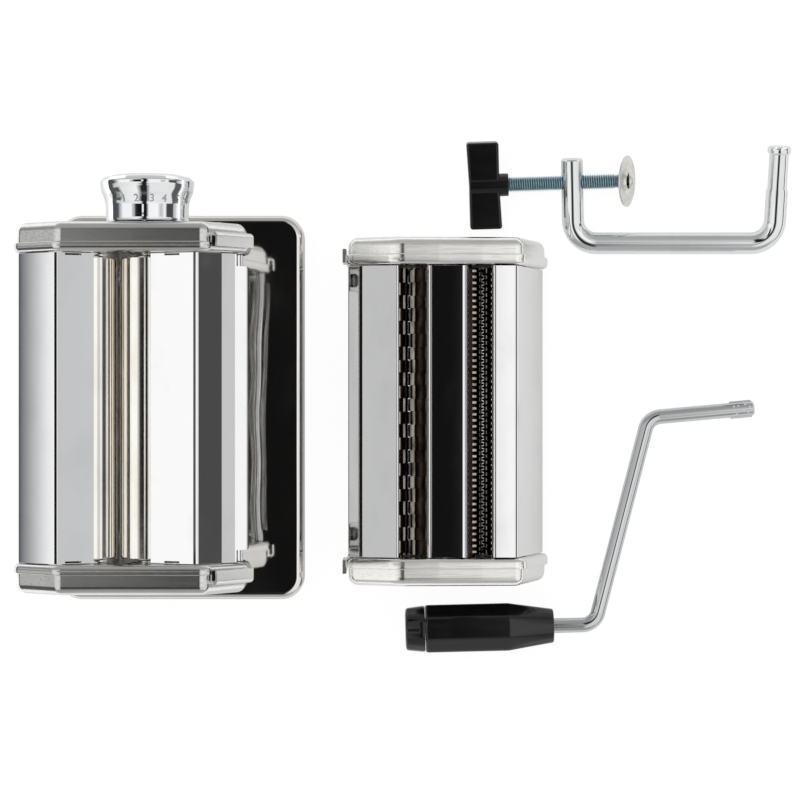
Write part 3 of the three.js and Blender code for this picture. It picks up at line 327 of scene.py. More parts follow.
# %% Piece helpers
MM = 0.001
AS_IS = Matrix.Identity(4)
AT_ORIGIN = Matrix.Scale(MM, 4)


def placed(origin, turn=AS_IS):
    """From an assembly's own millimetres to metres in the frame."""
    return AT_ORIGIN @ Matrix.Translation(origin) @ turn


def mesh_of(name, solid, where):
    net = bmesh.new()
    corners = [net.verts.new(where @ Vector(p)) for p in solid[0]]
    for face in solid[1]:
        net.faces.new([corners[i] for i in face])
    bmesh.ops.remove_doubles(net, verts=net.verts, dist=1e-6)
    bmesh.ops.dissolve_degenerate(net, dist=1e-7, edges=net.edges)
    bmesh.ops.recalc_face_normals(net, faces=net.faces)
    mesh = bpy.data.meshes.new(name)
    net.to_mesh(mesh)
    net.free()
    return mesh


def settle(thing):
    """Replaces an object's mesh by what its modifiers make of it."""
    graph = bpy.context.evaluated_depsgraph_get()
    mesh = bpy.data.meshes.new_from_object(thing.evaluated_get(graph), depsgraph=graph)
    thing.modifiers.clear()
    thing.data = mesh


def shown(name, solid=((), ()), where=AS_IS):
    label = f"{name}_look" if name in frame["nodes"] else name
    return added(label, mesh_of(label, solid, where))


def carve(thing, solids, where, operation="DIFFERENCE"):
    for solid in solids:
        tool = shown("tool", solid, where)
        change = thing.modifiers.new("carve", "BOOLEAN")
        change.operation = operation
        change.solver = "EXACT"
        change.object = tool
        settle(thing)
        bpy.data.objects.remove(tool)


def soften(thing, bevel=0.0, sharp=30):
    """Bevels sharp edges by `bevel` millimetres, then shades smooth with weighted normals."""
    limit = math.radians(sharp)
    if bevel:
        edge = thing.modifiers.new("edge", "BEVEL")
        edge.width = bevel * MM
        edge.segments = 2
        edge.limit_method = "ANGLE"
        edge.angle_limit = limit
        settle(thing)
    thing.data.polygons.foreach_set("use_smooth", [True] * len(thing.data.polygons))
    thing.data.set_sharp_from_angle(angle=limit)
    normals = thing.modifiers.new("normals", "WEIGHTED_NORMAL")
    normals.keep_sharp = True
    settle(thing)


def belongs(thing, finish, nodes=(), body=""):
    """Gives a finish and a body; the body is that of the nodes unless it is named."""
    body = body or body_of[nodes[0]]
    thing.data.materials.clear()
    thing.data.materials.append(finish)
    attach(thing, body)
    if nodes:
        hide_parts(*nodes)
    print(f"{thing.name}: {len(thing.data.polygons)} faces on {body}")


def piece(name, solid, where, finish, trims=(), welds=(), holes=(), bevel=0.0, sharp=30, nodes=()):
    thing = shown(name, solid, where)
    carve(thing, trims, where, "INTERSECT")
    carve(thing, welds, where, "UNION")
    carve(thing, holes, where)
    soften(thing, bevel, sharp)
    belongs(thing, finish, nodes or (name,))


print("piece helpers ready")

# %% [markdown]
# ## Node trees as sums
# A shader tree is easier to read as a sum than as a web of boxes. `Signal` wraps a socket and answers
# to + - * / with Math nodes. `Web.node` makes any other node from its type, inputs and settings.
# `Finish` adds what metal needs most: noise stretched along the direction in which it was worked.

# %% Shader helpers
class Signal:
    """A node's output that can be used in sums."""

    def __init__(self, web, socket):
        self.web, self.socket = web, socket

    def also(self, output):
        """Another output of the same node."""
        return Signal(self.web, self.socket.node.outputs[output])


# a + b, a - b, a * b and a / b become Math nodes, with the signal on either side of the sign.
for sign, operation in (("add", "ADD"), ("sub", "SUBTRACT"), ("mul", "MULTIPLY"), ("truediv", "DIVIDE")):
    setattr(Signal, f"__{sign}__", lambda a, b, rule=operation: a.web.math(rule, a, b))
    setattr(Signal, f"__r{sign}__", lambda a, b, rule=operation: a.web.math(rule, b, a))


class Web:
    """A node tree that is written as Python."""

    def __init__(self, tree, family="ShaderNode"):
        self.tree, self.family = tree, family
        tree.nodes.clear()

    def node(self, kind, inputs=None, output=0, **settings):
        made = self.tree.nodes.new(self.family + kind)
        for key, value in settings.items():
            setattr(made, key, value)
        for key, value in (inputs or {}).items():
            for one in value if isinstance(value, list) else [value]:
                if isinstance(one, Signal):
                    self.tree.links.new(one.socket, made.inputs[key])
                else:
                    made.inputs[key].default_value = one
        return Signal(self, made.outputs[output]) if made.outputs else None

    def math(self, operation, *values, clamp=False):
        return self.node("Math", dict(enumerate(values)), operation=operation, use_clamp=clamp)

    def blend(self, a, b, share):
        """Colour a where share is 0 and colour b where it is 1."""
        return self.node("Mix", {0: share, 6: a, 7: b}, 2, data_type="RGBA")

    def ramp(self, signal, low, high):
        """0 below `low` and 1 above `high`, smooth in between."""
        inputs = {"Value": signal, "From Min": low, "From Max": high}
        return self.node("MapRange", inputs, interpolation_type="SMOOTHSTEP")


def paint(code):
    """The linear colour of an sRGB code such as "c8c8c8"."""
    parts = [int(code[i:i + 2], 16) / 255 for i in (0, 2, 4)]
    return (*[p / 12.92 if p <= 0.04045 else ((p + 0.055) / 1.055) ** 2.4 for p in parts], 1.0)


class Finish(Web):
    """A material whose pattern is fixed to the place of the piece."""

    def __init__(self, name):
        self.material = bpy.data.materials.new(name)
        self.material.use_nodes = True
        super().__init__(self.material.node_tree)
        self.place = self.node("TexCoord", output="Object")

    def noise(self, scale, detail=3.0, roughness=0.55, seed=0.0):
        """Noise with its own number of waves per metre along each axis, or one for all three."""
        scale = scale if isinstance(scale, tuple) else (scale,) * 3
        moved = self.node("Mapping", {"Vector": self.place, "Scale": scale, "Location": (seed,) * 3})
        return self.node("TexNoise", {"Vector": moved, "Scale": 1.0, "Detail": detail,
                                      "Roughness": roughness})

    def done(self, colour, metallic, roughness, height=None, depth=0.0, coat=0.0):
        inputs = {"Base Color": colour, "Metallic": metallic, "Roughness": roughness, "Coat Weight": coat}
        if height is not None:
            inputs["Normal"] = self.node("Bump", {"Height": height, "Distance": depth})
        self.node("OutputMaterial", {"Surface": self.node("BsdfPrincipled", inputs)})
        print("finish", self.material.name)
        return self.material


print("shader helpers ready")

# %% [markdown]
# ## Brushed stainless steel
# The ends of the machine and the cutter are rubbed with an abrasive belt, which leaves fine lines in one
# direction. Noise that is stretched along the belt gives the lines, and the same noise drives colour,
# roughness and a very shallow bump, because one scratch changes all three.

# %% Brushed finishes
def brushed(name, scale, tone="dededd", depth=0.000008, streaks=0.6):
    finish = Finish(name)
    lines = finish.noise(scale, 5.0, 0.7)
    cloud = finish.noise((30.0, 22.0, 30.0), 2.0, 0.5, 4.0)
    colour = finish.blend(paint(tone), paint("b3b3b3"), finish.ramp(lines, 0.45, 0.75) * streaks)
    colour = finish.blend(colour, paint("c0c0c0"), finish.ramp(cloud, 0.5, 0.75) * 0.25)
    return finish.done(colour, 1.0, 0.09 + 0.16 * lines, lines, depth)


brushed_machine = brushed("brushed_machine", (12.0, 1300.0, 1300.0))
brushed_cutter = brushed("brushed_cutter", (14.0, 1300.0, 1300.0), "fbfaf8", 0.000004, 0.25)

# %% [markdown]
# ## Mirror-polished sheet
# The covers and the tray are polished and plated. A mirror has no colour of its own to speak of: what it
# shows is the room. Only a trace of handling stays, as soft patches that are a little less smooth, and
# the large flat tray has shallow dents that bend its reflections.

# %% Mirror finishes
def polished(name, tone, patch, dents=0.0):
    finish = Finish(name)
    smudge = finish.noise((40.0, 26.0, 40.0), 3.0, 0.6)
    grain = finish.noise((700.0, 60.0, 700.0), 2.0, 0.5, 3.0)
    colour = finish.blend(paint(tone), paint("c4c4c6"), finish.ramp(smudge, 0.45, 0.8) * 0.2)
    roughness = 0.03 + patch * finish.ramp(smudge, 0.5, 0.8) + 0.01 * grain
    height = grain * 0.0000015 + finish.noise((20.0, 12.0, 20.0), 1.0, 0.5, 8.0) * dents
    return finish.done(colour, 1.0, roughness, height, 1.0)


mirror_cover = polished("mirror_cover", "f4f4f4", 0.05)
chromed_tray = polished("chromed_tray", "ebe9e6", 0.04, 0.0006)
bright_chrome = polished("bright_chrome", "eff1f3", 0.03)
rod_chrome = polished("rod_chrome", "d3d5d7", 0.03)

# %% [markdown]
# ## Nickel on the rollers
# Rollers that touch food are nickel plated, which is warmer than chrome. The dough and the scrapers run
# round them, so the wear lines run round them too: the noise is stretched around the axis by giving it
# many waves along Y and few across. The cutting rollers are painted dark, as painted shade of the narrow
# gaps between their discs, with painted glints: bright marks placed by the angle about the axis, so they
# can be set one by one.

# %% Nickel finishes
def nickel_plated(name):
    finish = Finish(name)
    lines = finish.noise((60.0, 900.0, 60.0), 3.0, 0.6)
    cloud = finish.noise((70.0, 18.0, 70.0), 3.0, 0.6, 2.0)
    colour = finish.blend(paint("f7f4ee"), paint("ddd5c6"), finish.ramp(cloud, 0.4, 0.75) * 0.5)
    return finish.done(colour, 1.0, 0.05 + 0.07 * lines, lines, 0.000002)


def nickel_with_painted_glints(name, x, z, disc_glint, core_glint, marks=6):
    """Nickel painted dark as shade, with painted glints along the axis, each a range of degrees on the discs or
    the core.
    """
    finish = Finish(name)
    along = finish.node("SeparateXYZ", {0: finish.place})
    across, up = along - x, along.also("Z") - z
    turn = finish.math("ARCTAN2", across, up) * (180 / math.pi)
    on_disc = finish.ramp(finish.math("POWER", across * across + up * up, 0.5), 0.0094, 0.0096)

    # painted glint: a bright band at a range of degrees about the axis, repeated round the roller
    def glint(start, end):
        middle, half = (start + end) / 2, (end - start) / 2
        near = finish.math("ABSOLUTE", finish.math("WRAP", turn - middle, 180 / marks, -180 / marks))
        return 1 - finish.ramp(near, half - 1.0, half + 1.0)

    cloud = finish.noise((300.0, 120.0, 300.0), 3.0, 0.6)
    # painted glints on the discs and on the core, softened by the cloud noise
    bright = glint(*disc_glint) * on_disc + glint(*core_glint) * (1 - on_disc)
    bright = bright * (0.55 + 0.45 * finish.ramp(cloud, 0.3, 0.6))
    # painted shade: a dark brown for the shade between the discs, varied at random by the cloud noise; the painted
    # glints go over it
    colour = finish.blend(paint("38302a"), paint("1a1613"), finish.ramp(cloud, 0.35, 0.7))
    colour = finish.blend(colour, paint("f4ead8"), bright)
    return finish.done(colour, 1 - 0.8 * bright, 0.16 + 0.2 * bright, cloud, 0.000004)


nickel = nickel_plated("nickel")

# %% [markdown]
# ## Plain and zinc-plated steel
# Inner parts are left as they came from the press, and the pad has a grey coat of zinc. Zinc grows in
# small crystals, which a cell pattern imitates under a soft noise. The knob's figures are a darker grey.

# %% Steel and zinc finishes
def plated(name, tone, other, rough, grain):
    finish = Finish(name)
    cloud = finish.noise(grain, 3.0, 0.6)
    cells = finish.node("TexVoronoi", {"Vector": finish.place, "Scale": 5.0 * grain})
    colour = finish.blend(paint(tone), paint(other), finish.ramp(cloud, 0.35, 0.7) * 0.7)
    return finish.done(colour, 1.0, rough + 0.12 * cloud + 0.06 * cells, cloud, 0.000012)


plain_steel = plated("plain_steel", "a9a8a4", "83817d", 0.3, 90.0)
grey_zinc = plated("grey_zinc", "f4f3f0", "dcd9d3", 0.26, 220.0)
knob_marks = plated("knob_marks", "b4b4b6", "8c8c90", 0.22, 400.0)

# %% [markdown]
# ## Plastic and rubber
# The wing knob is matt black plastic with the fine grain of its mould, the crank's grip is glossy black
# with a few faint scratches, and the feet are plain rubber. Black plastic is never quite black: a little
# grey lets the light show its shape.

# %% Plastic and rubber finishes
def moulded(name, tone, other, rough, spread, grain, depth, coat=0.0):
    finish = Finish(name)
    fine = finish.noise(grain, 2.0, 0.5)
    wear = finish.noise((45.0, 160.0, 45.0), 4.0, 0.7, 6.0)
    colour = finish.blend(paint(tone), paint(other), finish.ramp(wear, 0.5, 0.8))
    return finish.done(colour, 0.0, rough + spread * wear, fine, depth, coat)


matt_black = moulded("matt_black", "050506", "0a0a0b", 0.12, 0.12, 1800.0, 0.00001, 0.1)
gloss_black = moulded("gloss_black", "0b0b0d", "131316", 0.1, 0.12, 900.0, 0.000004, 0.2)
black_rubber = moulded("black_rubber", "1a1a1a", "262524", 0.62, 0.2, 1500.0, 0.00005)

# %% [markdown]
# ## Trees that repeat a shape
# Discs on a cutting roller, feet and screws repeat, and coils follow a rule, so Geometry Nodes make them.
# Each tree ends in Realize Instances and Set Material. `grow` sets the inputs by their identifiers and
# turns the result into a plain mesh.

# %% Geometry node helpers
class Growth(Web):
    """A geometry node tree with named inputs."""

    def __init__(self, name, **kinds):
        tree = bpy.data.node_groups.new(name, "GeometryNodeTree")
        tree.is_modifier = True
        super().__init__(tree, "GeometryNode")
        for label, kind in {"Geometry": "Geometry", **kinds, "Finish": "Material"}.items():
            tree.interface.new_socket(label, in_out="INPUT", socket_type="NodeSocket" + kind)
        tree.interface.new_socket("Geometry", in_out="OUTPUT", socket_type="NodeSocketGeometry")
        self.inlet = tree.nodes.new("NodeGroupInput")

    def given(self, label):
        return Signal(self, self.inlet.outputs[label])

    def made_of(self, kind, output=0, settings=None, **inputs):
        """A node whose inputs are named with _ for a space; text means one of the tree's own inputs."""
        inputs = {key.replace("_", " "): self.given(value) if isinstance(value, str) else value
                  for key, value in inputs.items()}
        return self.node(kind, inputs, output, **(settings or {}))

    def finish(self, made):
        joined = self.node("JoinGeometry", {0: [self.given("Geometry"), made]})
        real = self.node("RealizeInstances", {0: joined})
        dressed = self.made_of("SetMaterial", Geometry=real, Material="Finish")
        outlet = self.tree.nodes.new("NodeGroupOutput")
        self.tree.links.new(dressed.socket, outlet.inputs[0])
        return self.tree

    def copies(self, spots):
        """The given shape at each spot."""
        shape = self.made_of("ObjectInfo", "Geometry", Object="Shape")
        return self.finish(self.made_of("InstanceOnPoints", Points=spots, Instance=shape))


def grow(thing, tree, sizes):
    change = thing.modifiers.new("grow", "NODES")
    change.node_group = tree
    sockets = {item.name: item.identifier for item in tree.interface.items_tree
               if item.item_type == "SOCKET" and item.in_out == "INPUT"}
    for label, value in sizes.items():
        change[sockets[label]] = value
    settle(thing)


def row_tree():
    """Copies of an object in a row: discs along a shaft."""
    tree = Growth("row", Shape="Object", Count="Int", Start="Vector", Step="Vector")
    return tree.copies(tree.made_of("MeshLine", settings={"mode": "OFFSET"}, Count="Count",
                                    Start_Location="Start", Offset="Step"))


def corners_tree():
    """Copies of an object at the four corners of a rectangle: feet and screws."""
    tree = Growth("corners", Shape="Object", Middle="Vector", Width="Float", Length="Float")
    grid = tree.made_of("MeshGrid", Size_X="Width", Size_Y="Length", Vertices_X=2, Vertices_Y=2)
    return tree.copies(tree.made_of("Transform", Geometry=grid, Translation="Middle"))


def coil_tree():
    """Wire wound about Z."""
    tree = Growth("coil", Turns="Float", Radius="Float", Height="Float", Wire="Float", Sides="Int",
                  Steps="Int")
    line = tree.made_of("CurveSpiral", Resolution="Steps", Rotations="Turns", Start_Radius="Radius",
                        End_Radius="Radius", Height="Height")
    line = tree.node("SetCurveNormal", {0: line}, mode="Z_UP")
    wire = tree.made_of("CurvePrimitiveCircle", Resolution="Sides", Radius="Wire")
    return tree.finish(tree.made_of("CurveToMesh", Curve=line, Profile_Curve=wire, Fill_Caps=True))


in_a_row, at_corners, wound = row_tree(), corners_tree(), coil_tree()
print("trees:", in_a_row.name, at_corners.name, wound.name)

# %% [markdown]
# ## Where the assemblies stand
# The machine's and the cutter's middles come from the boxes of their largest solids, and the clamp's and
# the crank's from joints, because those two lie at an angle on the table.

# %% Places of the assemblies
PLATE_IN, CROWN = 77.0, 92.0
SPAN = 76.7
SHEET, COVER = 1.2, 0.8
AXIS_Z = 117.0
CAP_BACK = -52.5


def middle(node):
    low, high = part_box(node)
    return [(a + b) / 2 / MM for a, b in zip(low, high)]


def direction(degrees):
    return Vector((math.cos(math.radians(degrees)), math.sin(math.radians(degrees)), 0))


machine = placed((*middle("base_tray")[:2], 0))
cutter_y = (middle("cutter_cap_far")[1] + middle("cutter_cap_crank")[1]) / 2
cutter = placed((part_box("cutter_cap_far")[0][0] / MM - CAP_BACK, cutter_y, 0))

SPLAY = math.radians(1.8)
CLAMP_LEAN = Matrix.Rotation(math.radians(11.6), 4, "X")
SCREW_HEIGHT = 33.1
on_screw = Vector((-SCREW_HEIGHT * math.sin(SPLAY), SCREW_HEIGHT * math.cos(SPLAY), 0))
screw_point = Vector(joints["screw_turn"]["pos_m"]) / MM
clamp = placed(screw_point - CLAMP_LEAN @ on_screw, CLAMP_LEAN)

SHAFT_WAY, ARM_WAY, GRIP_WAY = direction(5.2), direction(255.1), direction(181.4)
SHAFT_LENGTH, ARM_LENGTH = 57.6, 116.2
GRIP_POINT = 60.0
CRANK_LEAN = Matrix.Rotation(-math.asin(9 / ARM_LENGTH), 4, "X")
elbow = ARM_WAY * ARM_LENGTH
grip_point = Vector(joints["grip_spin"]["pos_m"]) / MM
crank = placed(grip_point - CRANK_LEAN @ (elbow + GRIP_WAY * GRIP_POINT), CRANK_LEAN)
machine_ends = {"knob": machine, "crank": machine @ Matrix.Scale(-1, 4, Y)}
cutter_ends = {"far": cutter, "crank": cutter @ Matrix.Scale(-1, 4, Y)}
for label, place in (("machine", machine), ("cutter", cutter), ("clamp", clamp), ("crank", crank)):
    print(label, [round(v * 1000, 2) for v in place.translation])

# %% [markdown]
# ## The tray
# The machine stands on a shallow pressed tray with a mirror finish. A pressing has a flat crown, a
# rounded edge and a skirt with even walls, which `pressing` builds ring by ring. The clamp's socket opens
# in the back edge, so a round port is cut there.

# %% Tray, feet and screws
BASE = rectangle(-66, -103.5, 66, 103.5, 12)
piece("base_tray", pressing(BASE, 3, 20, 1.5, 4, ALONG_Z), machine, chromed_tray,
      holes=[cylinder(0, 9.7, 6.9, -70, -61, ALONG_X)])


def set_of_four(name, profile, cuts, finish, middle_x, width, length, nodes):
    """One lathed shape at the four corners of a rectangle on the tray."""
    shape = shown("pattern", turned(*profile), AT_ORIGIN)
    carve(shape, cuts, AT_ORIGIN)
    thing = shown(name)
    grow(thing, at_corners, {"Shape": shape, "Middle": machine @ Vector((middle_x, 0, 0)),
                             "Width": width * MM, "Length": length * MM, "Finish": finish})
    soften(thing)
    belongs(thing, finish, [f"{nodes}_{i}" for i in (1, 2, 3, 4)])
    bpy.data.objects.remove(shape)


foot = eased([(0, 0), (7, 0), (7, 5), (4, 5), (4, 18.2), (0, 18.2)], 0.8)
screw = eased([(0, 14.5), (2, 14.5), (2, 21.8), (4, 21.8), (3.6, 23.4), (2.2, 24.2), (0, 24.2)], 0.3)
cross = [block((-2.4, 2.4), (-0.4, 0.4), (23, 25)), block((-0.4, 0.4), (-2.4, 2.4), (22.9, 25))]
set_of_four("rubber_feet", (foot, ALONG_Z, 40), (), black_rubber, 0, 102, 177,
            "rubber_foot")
set_of_four("base_screws", (screw, ALONG_Z, 32), cross, plain_steel, -10.5, 49, 142,
            "base_screw")

# %% [markdown]
# ## Side plates and end caps of the machine
# Each end is a side plate whose rim is folded outwards into a shallow lip, with a deeper cap pressed
# into it. Both share one outline, so the cap is the same outline moved inwards. The knob's end has holes
# for the spindle and for the six thickness settings, the other end one for the crank.

# %% Ends of the machine
ENDS = [(-47, 20.3, 3), (26, 20.3, 3), (26, 40, 10), (42.5, 105, 5), (42.5, 122, 5), (23, 146, 8),
        (-51, 146, 8), (-74, 129, 6), (-74, 108, 6), (-47, 40, 10)]
DRIVE_X, ADJUST_X, SPINDLE_X = -37.4, -8.4, -8.6
FRONT_ROD, BACK_ROD = (36.3, 112), (-62, 108)
ROD_HOLE, CRANK_PORT = 2.1, 7.5
INDEX_CIRCLE, INDEX_STEP, INDEX_HOLE = 17, 19, 1.8
PLATE_CUT, CAP_CUT = (75, 80), (89, 93)
LIP_EDGE, LIP_DRAFT, CAP_DRAFT = 2.9, -0.03, 0.04
CAP_START, CAP_PLAY = 78.5, 1.5


def through_plate(x, z, radius):
    return cylinder(x, z, radius, *PLATE_CUT, ALONG_Y)


def through_cap(x, z, radius):
    return cylinder(x, z, radius, *CAP_CUT, ALONG_Y)


def end_pair(plate, cap, outline, lip, edge, steps, where, finish, foot, plate_holes, cap_holes):
    """A plate with its lip turned outwards and a foot or lug, and the cap that is pressed into it."""
    piece(plate, pressing(outline, -PLATE_IN - lip, -PLATE_IN, SHEET, LIP_EDGE, ALONG_MINUS_Y, 7,
                          steps[0], LIP_DRAFT),
          where, finish, welds=[foot], holes=[together(*plate_holes)], bevel=0.5)
    piece(cap, pressing(inset(outline, CAP_PLAY), CAP_START, CROWN, SHEET, edge, ALONG_Y, 9, steps[1],
                        CAP_DRAFT),
          where, finish, holes=cap_holes, bevel=0.3)


index_holes = [through_cap(SPINDLE_X + INDEX_CIRCLE * math.sin(t), AXIS_Z + INDEX_CIRCLE * math.cos(t),
                           INDEX_HOLE)
               for t in (math.radians((i - 2) * INDEX_STEP) for i in range(6))]
cap_holes = {"knob": [together(through_cap(SPINDLE_X, AXIS_Z, 6.2), *index_holes)],
             "crank": [through_cap(DRIVE_X, AXIS_Z, CRANK_PORT)]}
yoke_slot = block((ADJUST_X - 8.4, ADJUST_X + 8.4), PLATE_CUT, (AXIS_Z - 7.2, AXIS_Z + 7.2))
plate_holes = [through_plate(DRIVE_X, AXIS_Z, 7.8), yoke_slot,
               *[through_plate(*place, ROD_HOLE) for place in (FRONT_ROD, BACK_ROD)]]
for end, where in machine_ends.items():
    end_pair(f"side_frame_{end}", f"end_cap_{end}", ENDS, 5, 4.5, (10, 10), where, brushed_machine,
             block((-42, 21), (65, 77.5), (20.3, 21.5)), plate_holes, cap_holes[end])

# %% [markdown]
# ## Cover sheets of the machine
# Two polished sheets close the machine between its ends and leave the feed slot open. Each is one folded
# strip: the fold line is drawn once in section and pushed from end to end. The panels are very slightly
# bowed, as thin sheet is, and that is what gives a reflection its gradient.

# %% Covers of the machine
def cover_sheet(name, path, where, holes=()):
    piece(name, prism(folded(path, COVER), -SPAN, SPAN, ALONG_Y), where, mirror_cover,
          holes=holes, bevel=0.1)


def end_slots(x):
    """A short slot near each end of a hopper sheet."""
    return [block((x - 3.8, x + 3.8), (y - 0.45, y + 0.45), (128, 144)) for y in (-75.9, 75.9)]


back_hip, back_shoulder, back_ridge = (-71.7, 108.5), (-71.7, 127.9), (-52, 141)
back_path = [(-33.7, 133.2), (-50.7, 141.1, 0.5), (*back_ridge, 0.8),
             *bowed(back_ridge, back_shoulder, 0.45), (*back_shoulder, 2.5), (*back_hip, 2.5), (-43, 45)]
front_path = [(-5.4, 132.5), (16.4, 140.7, 0.6), (17.9, 140.86, 2.5), (29.2, 133.4, 6), (35.6, 127, 1.5),
              (41.3, 120, 2.5), (41.3, 111)]
notches = [block((36.6, 44), (y - 1, y + 6), (109, 129)) for y in (-SPAN, SPAN - 5)]
cover_sheet("back_cover", back_path, machine, end_slots(-43.1))
cover_sheet("front_hopper", front_path, machine, end_slots(5.4) + notches)

# %% [markdown]
# ## Tie rods and rails
# Two chromed rods hold the ends apart, riveted over at the side plates. The rails are folded pockets on
# the front facets of the lips: the cutter's lugs slide into them. A Boolean with Intersect trims the
# straight fold to the facet's rounded shape.

# %% Rods and rails
def tie_rod(name, x, z, where):
    half = eased([(0, -79.9), (3.2, -79.9), (3.2, -78.5), (1.8, -78.5), (1.8, -SPAN), (2.7, -SPAN)], 0.35)
    profile = half + [(r, -y) for r, y in reversed(half)]
    piece(name, turned(profile, about(x, z), 40), where, bright_chrome)


tie_rod("tie_rod_front", *FRONT_ROD, machine)
tie_rod("tie_rod_back", *BACK_ROD, machine)

FACET_TOP, RAIL_END = (23, 0, 146), 30.4
POCKET_MOUTH, POCKET_BACK, POCKET_BEND = 79.6, 86.2, 1.7
slope = Vector((19.5, 0, -24)).normalized()
outwards = Vector((-slope.z, 0, slope.x))
low, high = -0.6, 3.0
rail_path = [(POCKET_MOUTH, low), (POCKET_BACK, low, POCKET_BEND), (POCKET_BACK, high, POCKET_BEND),
             (POCKET_MOUTH, high)]
rail = prism(folded(rail_path, SHEET, 10), 4, RAIL_END, axes(Y, outwards, slope, FACET_TOP))
trim = prism(rounded(rectangle(-2, 74.5, RAIL_END, 88.2, 3)), low - SHEET, high + SHEET,
             axes(slope, Y, outwards, FACET_TOP))
for end, where in machine_ends.items():
    piece(f"cutter_rail_{end}", rail, where, brushed_machine, trims=[trim], bevel=0.15)

# %% [markdown]
# ## The smooth rollers
# Both rollers are turned from bar, with a shoulder and a shaft at each end. `turned` spins the profile,
# and `eased` breaks its corners as a file would. The driven one is bored for the crank, with a slot for
# the crank's ribs.

# %% Smooth rollers
SOCKET_END, SOCKET_RADIUS, RIB_REACH, RIB_SLOT = -90.1, 4.6, 5.7, 1.3
ROLLER_RADIUS, ROLLER_END, SHOULDER, SHAFT = 13.8, 75, 7.5, 5
SHAFT_END = 80.2


def crank_socket(x, z, depth):
    """A bore for the crank's rod and a slot for its ribs."""
    return [cylinder(x, z, SOCKET_RADIUS, SOCKET_END - 1, SOCKET_END + depth, ALONG_Y),
            block((x - RIB_REACH, x + RIB_REACH), (SOCKET_END - 1, SOCKET_END + depth - 0.5),
                  (z - RIB_SLOT, z + RIB_SLOT))]


def smooth_roller(name, x, start, holes=()):
    profile = eased([*start, (SHAFT, -76), (SHOULDER, -76), (SHOULDER, -ROLLER_END),
                     (ROLLER_RADIUS, -ROLLER_END), (ROLLER_RADIUS, ROLLER_END), (SHOULDER, ROLLER_END),
                     (SHOULDER, 76), (SHAFT, 76), (SHAFT, SHAFT_END), (0, SHAFT_END)])
    piece(name, turned(profile, about(x, AXIS_Z), 128), machine, nickel, holes=holes)


smooth_roller("drive_roller", DRIVE_X, [(0, SOCKET_END), (6.5, SOCKET_END), (6.5, -81.5), (SHAFT, -81.5)],
              crank_socket(DRIVE_X, AXIS_Z, 18))
smooth_roller("adjust_roller", ADJUST_X, [(0, -88.6), (SHAFT, -88.6)])

# %% [markdown]
# ## The thickness knob
# The knob is turned from one piece: a waist beside the machine, a hollow taper and a wide rim. Its spring
# sits in a recess and pulls its pin into one of the six holes. The figures are text that is wrapped round
# the taper.

# %% Knob, figures, spindle and spring
KNOB_FACE = 92.5
RIM, WAIST = 23.45, 20.6
TAPER_MIDDLE, TAPER_EASE = 13.4, 1.7
FIGURE_ANGLES = (-27.6, -9.5, 11.7, 28.8, 49.0, 72.4)
FIGURE_SIZE, FIGURE_LINE, PROUD, FIGURE_DEPTH = 5.2, 9.4, 0.05, 0.2
ECCENTRIC, KNOB_TURN = 1.36, math.radians(9.5)


def taper_radius(y):
    """The knob's radius at height y above its lower face."""
    return WAIST + (RIM - WAIST) / (1 + math.exp((TAPER_MIDDLE - y) / TAPER_EASE))


taper = [(taper_radius(3 + 15 * k / 24), 3 + 15 * k / 24) for k in range(25)]
rim_path = [(RIM, 19), (RIM, 20.6, 1), (21.7, 22.4, 1.4), (16.5, 23.8, 6), (12.2, 24)]
rim_edge = [tuple(p) for p in rounded(rim_path, False, 6)]
knob_profile = [(0, 6), (10, 6), (10, 0.3), (10.3, 0), (WAIST - 1.2, 0), (WAIST - 0.35, 0.35),
                (WAIST, 1.2), *taper, *rim_edge, (11.5, 23.8), (11, 23.2), (11, 9), (0, 9)]
square_hole = block((SPINDLE_X - 4.2, SPINDLE_X + 4.2), (KNOB_FACE, KNOB_FACE + 10),
                    (AXIS_Z - 4.2, AXIS_Z + 4.2))
pin = cylinder(SPINDLE_X, AXIS_Z + INDEX_CIRCLE, 1.3, KNOB_FACE - 0.25, KNOB_FACE + 1, ALONG_Y, 24)
piece("thickness_knob", turned(knob_profile, axes(X, Z, Y, (SPINDLE_X, KNOB_FACE, AXIS_Z)), 160), machine,
      bright_chrome, welds=[pin], holes=[square_hole], sharp=28)


def knob_figures():
    """The figures 1 to 6, wrapped round the taper."""
    shapes = []
    for figure, angle in zip("123456", FIGURE_ANGLES):
        words = bpy.data.curves.new("figure", "FONT")
        words.body, words.size, words.align_x, words.offset = figure, FIGURE_SIZE, "CENTER", 0.05
        thing = added("figure", words)
        graph = bpy.context.evaluated_depsgraph_get()
        net = bmesh.new()
        net.from_mesh(bpy.data.meshes.new_from_object(thing.evaluated_get(graph)))
        bmesh.ops.triangulate(net, faces=net.faces)
        points = []
        for corner in net.verts:
            height = FIGURE_LINE + corner.co.y
            radius = taper_radius(height) + PROUD
            turn = math.radians(angle) + corner.co.x / radius
            points.append(Vector((SPINDLE_X + radius * math.sin(turn), KNOB_FACE + height,
                                  AXIS_Z + radius * math.cos(turn))))
        shapes.append((points, [tuple(v.index for v in face.verts) for face in net.faces]))
        net.free()
        bpy.data.objects.remove(thing)
    return together(*shapes)


figures = shown("knob_figures", knob_figures(), machine)
wall = figures.modifiers.new("wall", "SOLIDIFY")
wall.thickness = FIGURE_DEPTH * MM
wall.offset = 0
settle(figures)
soften(figures)
belongs(figures, knob_marks, body="knob")

